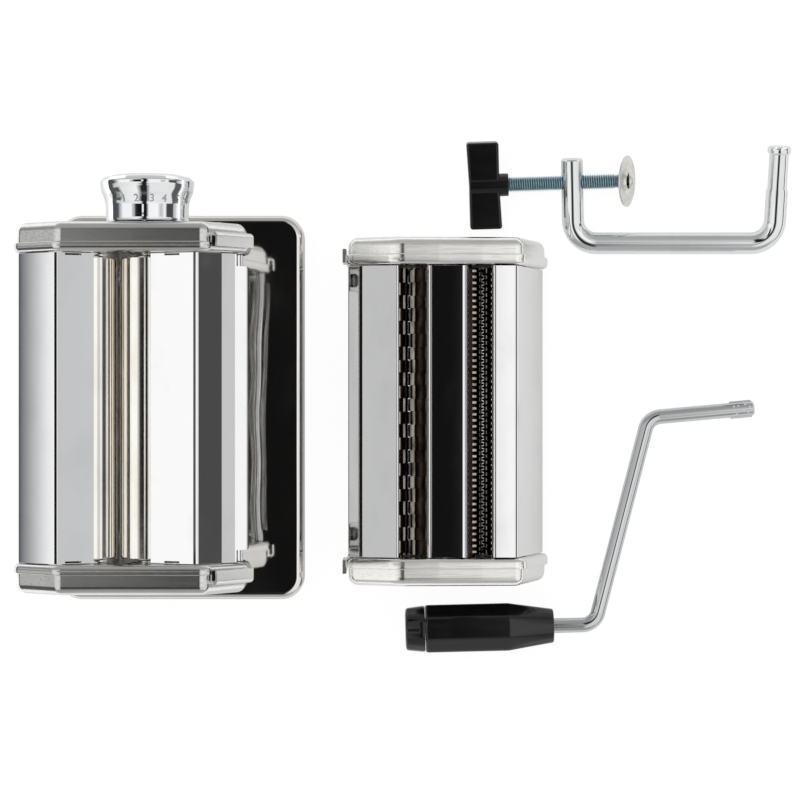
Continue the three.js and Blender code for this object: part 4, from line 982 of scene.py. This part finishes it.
journal = about(SPINDLE_X + ECCENTRIC * math.sin(KNOB_TURN), AXIS_Z + ECCENTRIC * math.cos(KNOB_TURN))
flange = eased([(0, 84.2), (6, 84.2), (6, 88.5), (8.5, 88.5), (8.5, 90.5), (6, 90.5), (6, 92.3),
                (0, 92.3)], 0.3)
washer = eased([(0, 111.2), (9.3, 111.2), (9.3, 112.7), (5, 112.7), (4.4, 112.2), (0, 112.2)])
spindle = together(
    turned([(0, 80.8), (5, 80.8), (5, 84.7), (0, 84.7)], journal, 48),
    turned(flange, about(SPINDLE_X, AXIS_Z), 64),
    block((SPINDLE_X - 4, SPINDLE_X + 4), (92, 111.5), (AXIS_Z - 4, AXIS_Z + 4)),
    turned(washer, about(SPINDLE_X, AXIS_Z), 64))
piece("spindle", spindle, machine, plain_steel, nodes=("eccentric_spindle",))

spring = shown("knob_spring")
spring_low, spring_high = KNOB_FACE + 10.1, 110.1
WIRE, COIL = 0.8, 7.6
grow(spring, wound, {"Turns": 4.0, "Radius": COIL * MM, "Height": (spring_high - spring_low) * MM,
                     "Wire": WIRE * MM, "Sides": 10, "Steps": 40, "Finish": plain_steel})
foot_of_spring = machine @ Vector((SPINDLE_X, spring_low, AXIS_Z))
spring.data.transform(Matrix.Translation(foot_of_spring) @ axes(X, Z, Y))
soften(spring)
belongs(spring, plain_steel, ["knob_spring"])
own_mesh(spring)

# %% [markdown]
# ## Ends of the cutter
# The cutter repeats the machine's construction: a lipped plate and a cap at each end. Two lugs at the
# back hang in the machine's rails. Its crank holes are in one cap only.

# %% Ends of the cutter
top_front, top_back = (40.5, 54.5), (-27, 58)
CUTTER_ENDS = [(-54, 0, 6), (50, 0, 4), (55.5, 10, 5), (*top_front, 7),
               *bowed(top_front, top_back, 0.2, 3), (*top_back, 20), (-54, 46, 7.5)]
CUT_Z = 38.0
CUT_X = (-29.7, -10.7, 9.5, 28.5)
CUTTER_RODS = {"left": (-45, 14), "right": (41, 14)}
for end, where in cutter_ends.items():
    driven = CUT_X[::2] if end == "crank" else ()
    openings = [through_plate(x, CUT_Z, 6.7 if x in driven else 4.7) for x in CUT_X]
    openings += [through_plate(*place, ROD_HOLE) for place in CUTTER_RODS.values()]
    end_pair(f"cutter_plate_{end}", f"cutter_cap_{end}", CUTTER_ENDS, 6, 4.8, (12, 14), where,
             brushed_cutter, block((-55.6, -53.6), (79.2, 86.5), (12, 36)), openings,
             [through_cap(x, CUT_Z, CRANK_PORT) for x in driven])
for label, place in CUTTER_RODS.items():
    tie_rod(f"cutter_rod_{label}", *place, cutter)

# %% [markdown]
# ## Covers of the cutter
# Three polished sheets leave a slot over each pair of cutting rollers. Their inner edges are folded down
# towards the rollers, so that a hand can't reach between them.

# %% Covers of the cutter
EDGE_LOW = 49.6
cutter_paths = {
    "left": [(-52.1, 2.5), (-52.1, 42, 2.5), (-46.5, 49.45, 0.5), (-44.7, 49.75, 0.5), (-25.9, 55.6, 0.7),
             (-25.9, EDGE_LOW)],
    "centre": [(-11, EDGE_LOW), (-11, 55.4, 2.8), (10.6, 55.4, 2.8), (10.6, EDGE_LOW)],
    "right": [(23.8, EDGE_LOW), (23.8, 55, 1.6), (36.5, 54.2, 3), (52.2, 6)],
}
for label, path in cutter_paths.items():
    cover_sheet(f"cutter_cover_{label}", path, cutter)

# %% [markdown]
# ## The cutting rollers
# A cutting roller is a core with raised discs. The discs of one roller run in the gaps of the other, and
# the dough between them is shorn into strips: 22 wide ones or 95 fine ones. One disc is modelled, and
# the row tree sets it along the shaft. The first roller of each pair has the crank's socket.

# %% Cutting rollers
CUT_LENGTH = 150
DISC_RADIUS, CORE_RADIUS, DISC_INNER = 10.0, 8.97, 8.8
DISC_GAP = BREAK = 0.15
CUTTER_SHAFT, GEAR_END = 4.5, 88.3
# Angles of the painted glints on each cutting roller, on its discs and on its core
GLINT_ANGLES = {
    "wide_roller_a": ((10, 29), (46, 57)),
    "wide_roller_b": ((-64, -42), (-59, -45)),
    "fine_roller_a": ((22, 36), (56, 64)),
    "fine_roller_b": ((-32, -19), (-64, -56)),
}


def cutting_roller(name, x, strips, parity, gear_side):
    """A roller with every second disc of its pair, from the first, parity 0, or the second, parity 1."""
    socketed = parity == 0
    pitch = CUT_LENGTH / strips
    half = pitch / 2 - DISC_GAP
    low = SOCKET_END if socketed else (-GEAR_END if gear_side < 0 else -SHAFT_END)
    high = GEAR_END if gear_side > 0 else SHAFT_END
    shaft = 6.5 if socketed else CUTTER_SHAFT
    core = eased([(0, low), (shaft, low), (shaft, -76), (CORE_RADIUS, -76), (CORE_RADIUS, 76),
                  (CUTTER_SHAFT, 76), (CUTTER_SHAFT, high), (0, high)], 0.3)
    thing = shown(name, turned(core, about(x, CUT_Z), 64), cutter)
    if socketed:
        carve(thing, crank_socket(x, CUT_Z, 14), cutter)
    edge = [(DISC_INNER, -half), (DISC_RADIUS - BREAK, -half), (DISC_RADIUS, -half + BREAK),
            (DISC_RADIUS, half - BREAK), (DISC_RADIUS - BREAK, half), (DISC_INNER, half)]
    axis = cutter @ Vector((x, 0, CUT_Z))
    # nickel with painted shade between the discs and painted glints
    glinted = nickel_with_painted_glints(f"ground_{name}", axis.x, axis.z, *GLINT_ANGLES[name])
    disc = shown("disc_pattern", turned(edge, ALONG_Y, 48, ringed=True), AT_ORIGIN)
    first = -CUT_LENGTH / 2 + (parity + 0.5) * pitch
    grow(thing, in_a_row, {"Shape": disc, "Count": len(range(parity, strips, 2)), "Finish": glinted,
                           "Start": cutter @ Vector((x, first, CUT_Z)),
                           "Step": Vector((0, 2 * pitch * MM, 0))})
    bpy.data.objects.remove(disc)
    soften(thing)
    belongs(thing, glinted, [name])


for pair, strips, gear_side, places in (("wide", 22, -1, CUT_X[:2]), ("fine", 95, 1, CUT_X[2:])):
    for parity, (letter, x) in enumerate(zip("ab", places)):
        cutting_roller(f"{pair}_roller_{letter}", x, strips, parity, gear_side)

# %% [markdown]
# ## The table clamp
# The bar is 12 mm round stock bent twice, its hooked end turned down to a neck with a bead that fits the
# tray's socket. A list of heights and radii says how that end is turned.

# %% Clamp bar
BAR_SPAN, BAR_RADIUS, BAR_BEND = 109, 5.9, 13
NECK = ((30.2, 5.2), (48.6, 5.2), (48.8, 5.6), (49.4, 6.2), (50.2, 6.3), (51.4, 6.3), (52.2, 6.1),
        (52.8, 5.3))


def on_leg(side, height):
    foot = BAR_SPAN if side > 0 else 0
    return Vector((foot + side * height * math.sin(SPLAY), height * math.cos(SPLAY)))


corners = [on_leg(-1, 45.2), (0, 0, BAR_BEND), (BAR_SPAN, 0, BAR_BEND), on_leg(1, 28.4)]
bar_line = [on_leg(-1, 46), *rounded([tuple(c) for c in corners], False, 16)]
bar_radii = [5.1, *[BAR_RADIUS] * (len(bar_line) - 1), *[radius for _, radius in NECK]]
bar_line += [on_leg(1, height) for height, _ in NECK]
screw_way = Vector((math.cos(SPLAY), math.sin(SPLAY), 0))
screw_up = Vector((-math.sin(SPLAY), math.cos(SPLAY), 0))
screw_axes = axes(screw_up, Z, screw_way, on_screw)
piece("clamp_bar", rod(bar_line, bar_radii, 48), clamp, bright_chrome,
      holes=[cylinder(0, 0, 4.2, -12, 12, screw_axes, 32)], sharp=35)

# %% [markdown]
# The wing knob is a moulded block that narrows slightly in the middle, with a short collar at the screw.
# Its wide faces are softened all round, which is what catches the light on matt plastic.

# %% Wing knob
SCREW_END = -50.9
WING_MIDDLE, HALF_SPAN, HALF_WIDTH = -47.7, 23.5, 9.2
WING_CORNER, WAIST_BEND = 1.5, 30


def cushioned(outline, half, edge, frame_of, steps=5):
    """A flat body with both faces rounded over at the edge."""
    def ring(a, side):
        moved = inset(outline, edge * (1 - math.sin(a)))
        return rounded(moved), side * (half - edge * (1 - math.cos(a)))

    arc = [math.pi / 2 * k / steps for k in range(steps + 1)]
    return skin([ring(a, -1) for a in arc] + [ring(a, 1) for a in reversed(arc)], frame_of)


near, far = WING_MIDDLE - HALF_WIDTH, WING_MIDDLE + HALF_WIDTH
wing = [(-HALF_SPAN, near + 1, WING_CORNER), (0, near + 1.03, WAIST_BEND), (HALF_SPAN, near, WING_CORNER),
        (HALF_SPAN, far - 1, WING_CORNER), (0, far - 1.03, WAIST_BEND), (-HALF_SPAN, far, WING_CORNER)]
collar = eased([(0, WING_MIDDLE - 7.9), (6.15, WING_MIDDLE - 7.9), (6.15, -34.6), (0, -34.6)], 0.5)
piece("clamp_wing_knob", cushioned(wing, 5, 1.4, axes(screw_up, screw_way, Z, on_screw)), clamp,
      matt_black, welds=[turned(collar, screw_axes, 48)],
      holes=[cylinder(0, 0, 4.3, SCREW_END - 0.3, -34, screw_axes, 32)])

# %% [markdown]
# The screw has a real thread: its radius swells with the angle and the depth together, which is all that
# a thread is. Its zinc coat is bluish, with painted shade that darkens it towards the roots of the thread.
# The pad sits on a ball, so the screw's end, the rivet and the pad's cup are arcs about one point, and the
# pad can lean.

# %% Screw and pad
PIVOT = 27.0
THREAD_PITCH, CREST, ROOT = 1.25, 4.1, 3.2
PAD_TILT, PAD_RADIUS = math.radians(-22.5), 13.85
CUP_DEGREES = (47, 80, 5)


def threaded(low, high, sides=32, steps=12):
    """Round stock with a rounded thread, which runs out at both ends."""
    rings = []
    count = round((high - low) / THREAD_PITCH * steps)
    for k in range(count + 1):
        depth = low + (high - low) * k / count
        fade = min(1, (depth - low) / THREAD_PITCH, (high - depth) / THREAD_PITCH)
        ring = []
        for turn in (math.tau * i / sides for i in range(sides)):
            wave = 0.5 + 0.5 * math.cos(math.tau * depth / THREAD_PITCH - turn)
            radius = ROOT + (CREST - ROOT) * wave * fade
            ring.append(Vector((radius * math.cos(turn), radius * math.sin(turn))))
        rings.append((ring, depth))
    return skin(rings, screw_axes)


def zinc_with_root_shade(name, axis_point, axis_way, root, crest):
    """Bluish zinc with painted shade, darker towards the roots of a thread about an axis."""
    finish = Finish(name)
    away = finish.node("VectorMath", {0: finish.place, 1: axis_point}, operation="SUBTRACT")
    away = finish.node("VectorMath", {0: away, 1: axis_way}, operation="CROSS_PRODUCT")
    radius = finish.node("VectorMath", {0: away}, "Value", operation="LENGTH")
    cloud = finish.noise(300.0, 3.0, 0.6)
    colour = finish.blend(paint("d2e9f1"), paint("b3d3df"), finish.ramp(cloud, 0.35, 0.7))
    # painted shade: darker at the thread's roots, by the distance from the axis
    colour = finish.blend(paint("7d98a2"), colour, finish.ramp(radius, root * MM, crest * MM))
    return finish.done(colour, 1.0, 0.2 + 0.1 * cloud, cloud, 0.000006)


def arc(radius, *degrees):
    """Profile points on a circle about the pivot, by a range of angles from the axis."""
    turns = [math.radians(t) for t in range(*degrees)]
    return [(radius * math.sin(t), PIVOT + radius * math.cos(t)) for t in turns]


screw_line = (clamp @ screw_axes).to_3x3() @ Z
# the screw's finish, with painted shade in the roots of its thread
blue_zinc = zinc_with_root_shade("blue_zinc", tuple(clamp @ on_screw), tuple(screw_line.normalized()), 3.3, 4.0)
core = [(0, SCREW_END), (3.3, SCREW_END), (3.3, 24.4), (4, 24.8), *arc(4, 90, 20, -10), (1.8, 30.6),
        (1.8, 24), (0, 24)]
piece("clamp_screw", together(turned(core, screw_axes, 40), threaded(-46.0, 23.6)), clamp, blue_zinc,
      sharp=60)

DOME_LOW, DOME_RISE = PIVOT + 3.27, 3.6
dome = [(4.67 * math.cos(math.radians(t)), DOME_LOW + DOME_RISE * math.sin(math.radians(t)))
        for t in range(8, 89, 9)]
rivet = [(0, 24.3), (1.5, 24.3), (1.5, PIVOT + 5.45), *arc(5.7, 16, 56, 6), *dome,
         (0, DOME_LOW + DOME_RISE)]
piece("pad_rivet", turned(rivet, screw_axes, 48), clamp, grey_zinc)

pivot = on_screw + screw_way * PIVOT
pad_lean = Matrix.Translation(pivot) @ Matrix.Rotation(PAD_TILT, 4, screw_up) @ Matrix.Translation(-pivot)
cup_in, cup_out = arc(4.3, *CUP_DEGREES), arc(5.4, *CUP_DEGREES)
foot_r, foot_y = cup_in[-1]
pad = [*cup_in, (foot_r + 1.4, foot_y + 0.1), (9, foot_y + 0.7), (13.3, foot_y + 1.2),
       (PAD_RADIUS, foot_y + 1.45), (PAD_RADIUS, foot_y + 2.1), (13.4, foot_y + 2.3), (9, foot_y + 1.8),
       (foot_r + 2.6, foot_y + 1.2), *reversed(cup_out)]
piece("clamp_pad", turned(pad, pad_lean @ screw_axes, 72, ringed=True), clamp, grey_zinc)

# %% [markdown]
# ## The crank
# The crank is one chromed rod with two bends. Near its tip two ribs are staked out of the rod, which
# carry the turn into a roller, and the tool has left a row of small marks. The grip is an octagonal
# moulding that runs into a round nose, closed by a cap with a fine seam.

# %% Crank rod
ROD_RADIUS, ROD_BEND, ROD_END = 4.0, 9, 93.6


def runs(way, origin=(0, 0, 0)):
    """Axes whose depth runs along a direction in the crank's own plane."""
    return axes((-way.y, way.x, 0), Z, way, origin)


def flat(point, *radius):
    """A corner of the crank's centre line."""
    return (point.x, point.y, *radius)


tip_axes, grip_axes = runs(SHAFT_WAY), runs(GRIP_WAY, elbow)
corners = [flat(SHAFT_WAY * (SHAFT_LENGTH - 0.9)), (0, 0, ROD_BEND), flat(elbow, ROD_BEND),
           flat(elbow + GRIP_WAY * ROD_END)]
crank_line = [(SHAFT_WAY * SHAFT_LENGTH).to_2d(), *rounded(corners, False, 16)]
crank_radii = [3.1, *[ROD_RADIUS] * (len(crank_line) - 1)]
ribs = prism(rounded(rectangle(-4.7, -1, 4.7, 1, 0.5), steps=3), SHAFT_LENGTH - 13, SHAFT_LENGTH - 1.4,
             tip_axes)
stakes = together(*[cylinder(2.3 * math.sin(k * 2.4), SHAFT_LENGTH - 12.4 + 1.25 * k, 0.55, 2.6,
                             3.75 + 0.12 * (k % 3), tip_axes @ ALONG_Y, 10) for k in range(9)])
head = turned(eased([(0, 91.1), (6, 91.1), (6, ROD_END), (0, ROD_END)]), grip_axes, 40)
piece("crank_rod", rod(crank_line, crank_radii, 40), crank, rod_chrome,
      welds=[ribs, head, stakes], sharp=35)

# %% Grip and its end cap
GRIP_START, GRIP_END = 22.4, 102.6
GRIP_SEAM = GRIP_END - 11
CAP_LOW = GRIP_SEAM + 0.3
HALF_ACROSS, NOSE, CAP_RADIUS, RECESS = 12.8, 9.25, 11.5, 6.6
NOSE_LENGTH, NOSE_STEPS = 23.5, 12
SHARPEST = 1.072


def octagonal(profile, sides=96):
    """A solid from (half width, depth, share): a share of 0 is a circle and 1 an octagon."""
    rings = []
    for radius, depth, share in profile:
        ring = []
        for t in (2 * math.pi * i / sides for i in range(sides)):
            facet = (t + math.pi / 8) % (math.pi / 4) - math.pi / 8
            r = radius * (1 + (min(1 / math.cos(facet), SHARPEST) - 1) * share)
            ring.append(Vector((r * math.cos(t), r * math.sin(t))))
        rings.append((ring, depth))
    return skin(rings, grip_axes)


taper_rings = [(NOSE + (HALF_ACROSS - NOSE) * t, GRIP_START + 1 + NOSE_LENGTH * t, 0.3 + 0.7 * t)
               for t in (k / NOSE_STEPS for k in range(NOSE_STEPS + 1))]
grip = [(NOSE - 1, GRIP_START, 0), (NOSE - 0.3, GRIP_START + 0.3, 0.05), *taper_rings,
        (HALF_ACROSS, GRIP_SEAM - 1.2, 1), (HALF_ACROSS - 0.1, GRIP_SEAM - 0.5, 0.7),
        (HALF_ACROSS - 0.5, GRIP_SEAM, 0.3)]
piece("crank_grip", octagonal(grip), crank, gloss_black, sharp=40,
      holes=[cylinder(0, 0, ROD_RADIUS + 0.2, GRIP_START - 1, GRIP_SEAM + 1, grip_axes),
             cylinder(0, 0, RECESS, 90.8, GRIP_SEAM + 1, grip_axes)])

cap = [(CAP_RADIUS - 3.5, GRIP_END, 0), (CAP_RADIUS - 1.2, GRIP_END - 0.25, 0),
       (CAP_RADIUS - 0.35, GRIP_END - 0.7, 0.1), (CAP_RADIUS, GRIP_END - 1.5, 0.2),
       (12.2, CAP_LOW + 3, 0.35), (12.4, CAP_LOW + 0.8, 0.4), (12.0, CAP_LOW, 0.2)]
piece("grip_end_cap", octagonal(cap), crank, gloss_black, sharp=40,
      holes=[cylinder(0, 0, RECESS, CAP_LOW - 1, 93.9, grip_axes)])

# %% [markdown]
# ## Solids that stay as they are
# Gears, bushes, sliding blocks, combs and scrapers sit inside, where only a glimpse of them shows. Their
# solids are right as they stand, so they only get a finish.

# %% Finishes of the inner solids
inner_solids = {
    plain_steel: ("clamp_socket", "scraper_back", "scraper_front", "drive_gear", "adjust_gear", "yoke_knob",
                  "yoke_crank", "wide_comb", "fine_comb", "wide_gear_a", "wide_gear_b", "fine_gear_a",
                  "fine_gear_b"),
    nickel: ("roller_bush_knob", "roller_bush_crank"),
}
for finish, names in inner_solids.items():
    for name in names:
        for stuff in frame["nodes"][name].material_slots:
            stuff.material = finish
print("inner solids finished:", sum(len(names) for names in inner_solids.values()))

# %% [markdown]
# ## The studio
# Polished metal shows whatever stands round it, so the room is part of the look: a white tent with a dark
# opening overhead, where the camera looks in, and dark gaps low on both sides. The world's colour is
# worked out from the direction alone, as rings of brightness round the Y axis. One ring is seen straight
# across, one beside it and one towards the front. The camera itself sees plain white.

# %% World
# Each stop is the degrees from overhead, the brightness and, for a tinted one, how blue it is. Each edge
# is the degrees away from the XZ plane over which one ring gives way to the next.
ACROSS = ((-180, 0.9), (-140, 0.9), (-128, 0.06), (-84, 0.1, 1.15), (-66, 1.05), (-40, 1.05), (-36, 0.56),
          (-33, 0.58, 1.01), (-27, 0.03), (-20, 0.008), (2.5, 0.006), (6, 0.33), (9, 1.0), (34, 1.06),
          (42, 0.6, 1.01), (48, 0.7, 1.01), (53, 1.0), (57, 0.95), (61, 0.07), (80, 0.075), (84, 0.6),
          (90, 0.64), (95, 1.0), (120, 1.0), (140, 0.7), (180, 0.7))
LOW_GAP = ((76, 0.9), (80, 0.12), (96, 0.12), (100, 0.55), (180, 0.6))
BESIDE = ((-180, 0.6), (-128, 0.6), (-120, 0.1), (-92, 0.1), (-86, 0.6), (-66, 0.85), (-24, 1.0),
          (-13, 0.85), (-8.4, 0.3), (-7.4, 0.1), (-6.8, 0.05), (-6.2, 0.02), (-2, 0.015), (3.4, 0.04),
          (4.2, 0.74), (7, 0.84), (10, 0.95), (14, 0.98), (60, 0.9), *LOW_GAP)
FRONT = ((-180, 0.6), (-128, 0.6), (-120, 0.1), (-76, 0.1), (-66, 0.9), (-24, 1.0), (-14, 0.25),
         (-11, 0.02), (3.8, 0.02), (5, 0.36), (8, 0.42), (13, 0.9), (60, 0.9), *LOW_GAP)


ACROSS_EDGE, OUTER_EDGE, FAR_EDGE = (3.9, 5.2), (10.0, 14.0), (35.0, 52.0)
PATCH_START, PATCH_END, PATCH_EDGE = (-10.2, -9.2), (-5.2, -4.2), (3.2, 3.7)


def grey(value, blue=1.0):
    return value * (2 - blue), value, value * blue


def warm(value):
    return value, value, value * 0.985


def part_of_turn(degrees):
    return (degrees + 180) / 360


def ring_of(web, around, stops, tint):
    """Colours round the Y axis."""
    colour = web.node("ValToRGB", {"Fac": around}, "Color")
    ramp = colour.socket.node.color_ramp
    while len(ramp.elements) < len(stops):
        ramp.elements.new(1.0)
    for stop, (angle, *values) in zip(ramp.elements, stops):
        stop.position = part_of_turn(angle)
        stop.color = (*tint(*values), 1.0)
    return colour


def studio():
    world = bpy.data.worlds.new("studio")
    scene.world = world
    world.use_nodes = True
    web = Web(world.node_tree)
    x = web.node("SeparateXYZ", {0: web.node("TexCoord", output="Generated")})
    y, z = x.also("Y"), x.also("Z")
    around = web.math("ARCTAN2", x, z) / math.tau + 0.5
    aside = web.math("ABSOLUTE", web.math("ARCSINE", y)) * (180 / math.pi)
    across = ring_of(web, around, ACROSS, grey)
    beside = ring_of(web, around, BESIDE, warm)
    front = ring_of(web, around, FRONT, warm)
    north, outer = web.ramp(y, -0.01, 0.01), web.ramp(aside, *OUTER_EDGE)
    far = web.blend((0.62, 0.62, 0.62, 1), (*warm(0.42), 1), web.ramp(z, 0.0, 0.3))
    plain = web.blend(beside, (0, 0, 0, 1), outer * 0.32)
    plain = web.blend(plain, front, outer * (1 - north))
    plain = web.blend(plain, far, web.ramp(aside + 11 * north, *FAR_EDGE))
    room = web.blend(across, plain, web.ramp(aside, *ACROSS_EDGE))
    patch = (web.ramp(around, *map(part_of_turn, PATCH_START))
             * (1 - web.ramp(around, *map(part_of_turn, PATCH_END)))
             * (1 - web.ramp(aside, *PATCH_EDGE)))
    room = web.blend(room, (0.98, 0.98, 0.97, 1), patch)
    colour = web.blend(room, (1, 1, 1, 1), web.node("LightPath", output="Is Camera Ray"))
    web.node("OutputWorld", {"Surface": web.node("Background", {"Color": colour, "Strength": 1.0})})
    print("world with", len(ACROSS), "stops straight across")


studio()

# %% [markdown]
# ## Floor and lamp
# The floor is pale and large. For the camera and for reflections it is mostly even white, with a share
# left to real light, so that a soft shadow stays under each piece. One wide lamp gives the shadow its
# direction.

# %% Floor and lamp
FLOOR_SHARE, MIRROR_SHARE, FAR_SHARE = 0.945, 0.15, 0.45
FLOOR_HALF, FLOOR_HEIGHT, FAR_OUT = 0.6, -0.0001, (0.24, 0.4)
LAMP_PLACE = Vector((-0.5, 0.5, 1.6))

web = Finish("floor")
rays = web.node("LightPath", output="Is Camera Ray")
seen = web.math("ADD", rays, rays.also("Is Glossy Ray"))
seen = web.math("ADD", seen, rays.also("Is Transmission Ray"), clamp=True)
tone = web.blend((0.84, 0.84, 0.84, 1), (0.88, 0.88, 0.88, 1), web.noise(6.0, 2.0))
tone = web.blend(tone, (0.1, 0.1, 0.1, 1), rays)
lit = web.node("BsdfDiffuse", {"Color": tone})
away = web.node("VectorMath", {0: web.place}, "Value", operation="LENGTH")
mirror_share = MIRROR_SHARE + FAR_SHARE * web.ramp(away, *FAR_OUT)
strength = rays * FLOOR_SHARE + (seen - rays) * mirror_share
even = web.node("Emission", {"Color": (1, 1, 1, 1), "Strength": strength})
web.node("OutputMaterial", {"Surface": web.node("AddShader", {0: lit, 1: even})})
sheet = [Vector((x, y, FLOOR_HEIGHT))
         for x, y, _ in rectangle(-FLOOR_HALF, -FLOOR_HALF, FLOOR_HALF, FLOOR_HALF)]
floor = shown("floor", (sheet, [(0, 1, 2, 3)]))
floor.data.materials.append(web.material)

lamp_data = bpy.data.lights.new("soft_lamp", "AREA")
lamp_data.shape = "DISK"
lamp_data.size = 0.9
lamp_data.energy = 6.0
lamp = added("soft_lamp", lamp_data)
lamp.location = LAMP_PLACE
lamp.rotation_euler = (-LAMP_PLACE).to_track_quat("-Z", "Y").to_euler()
lamp.visible_glossy = False
print("floor and lamp ready")
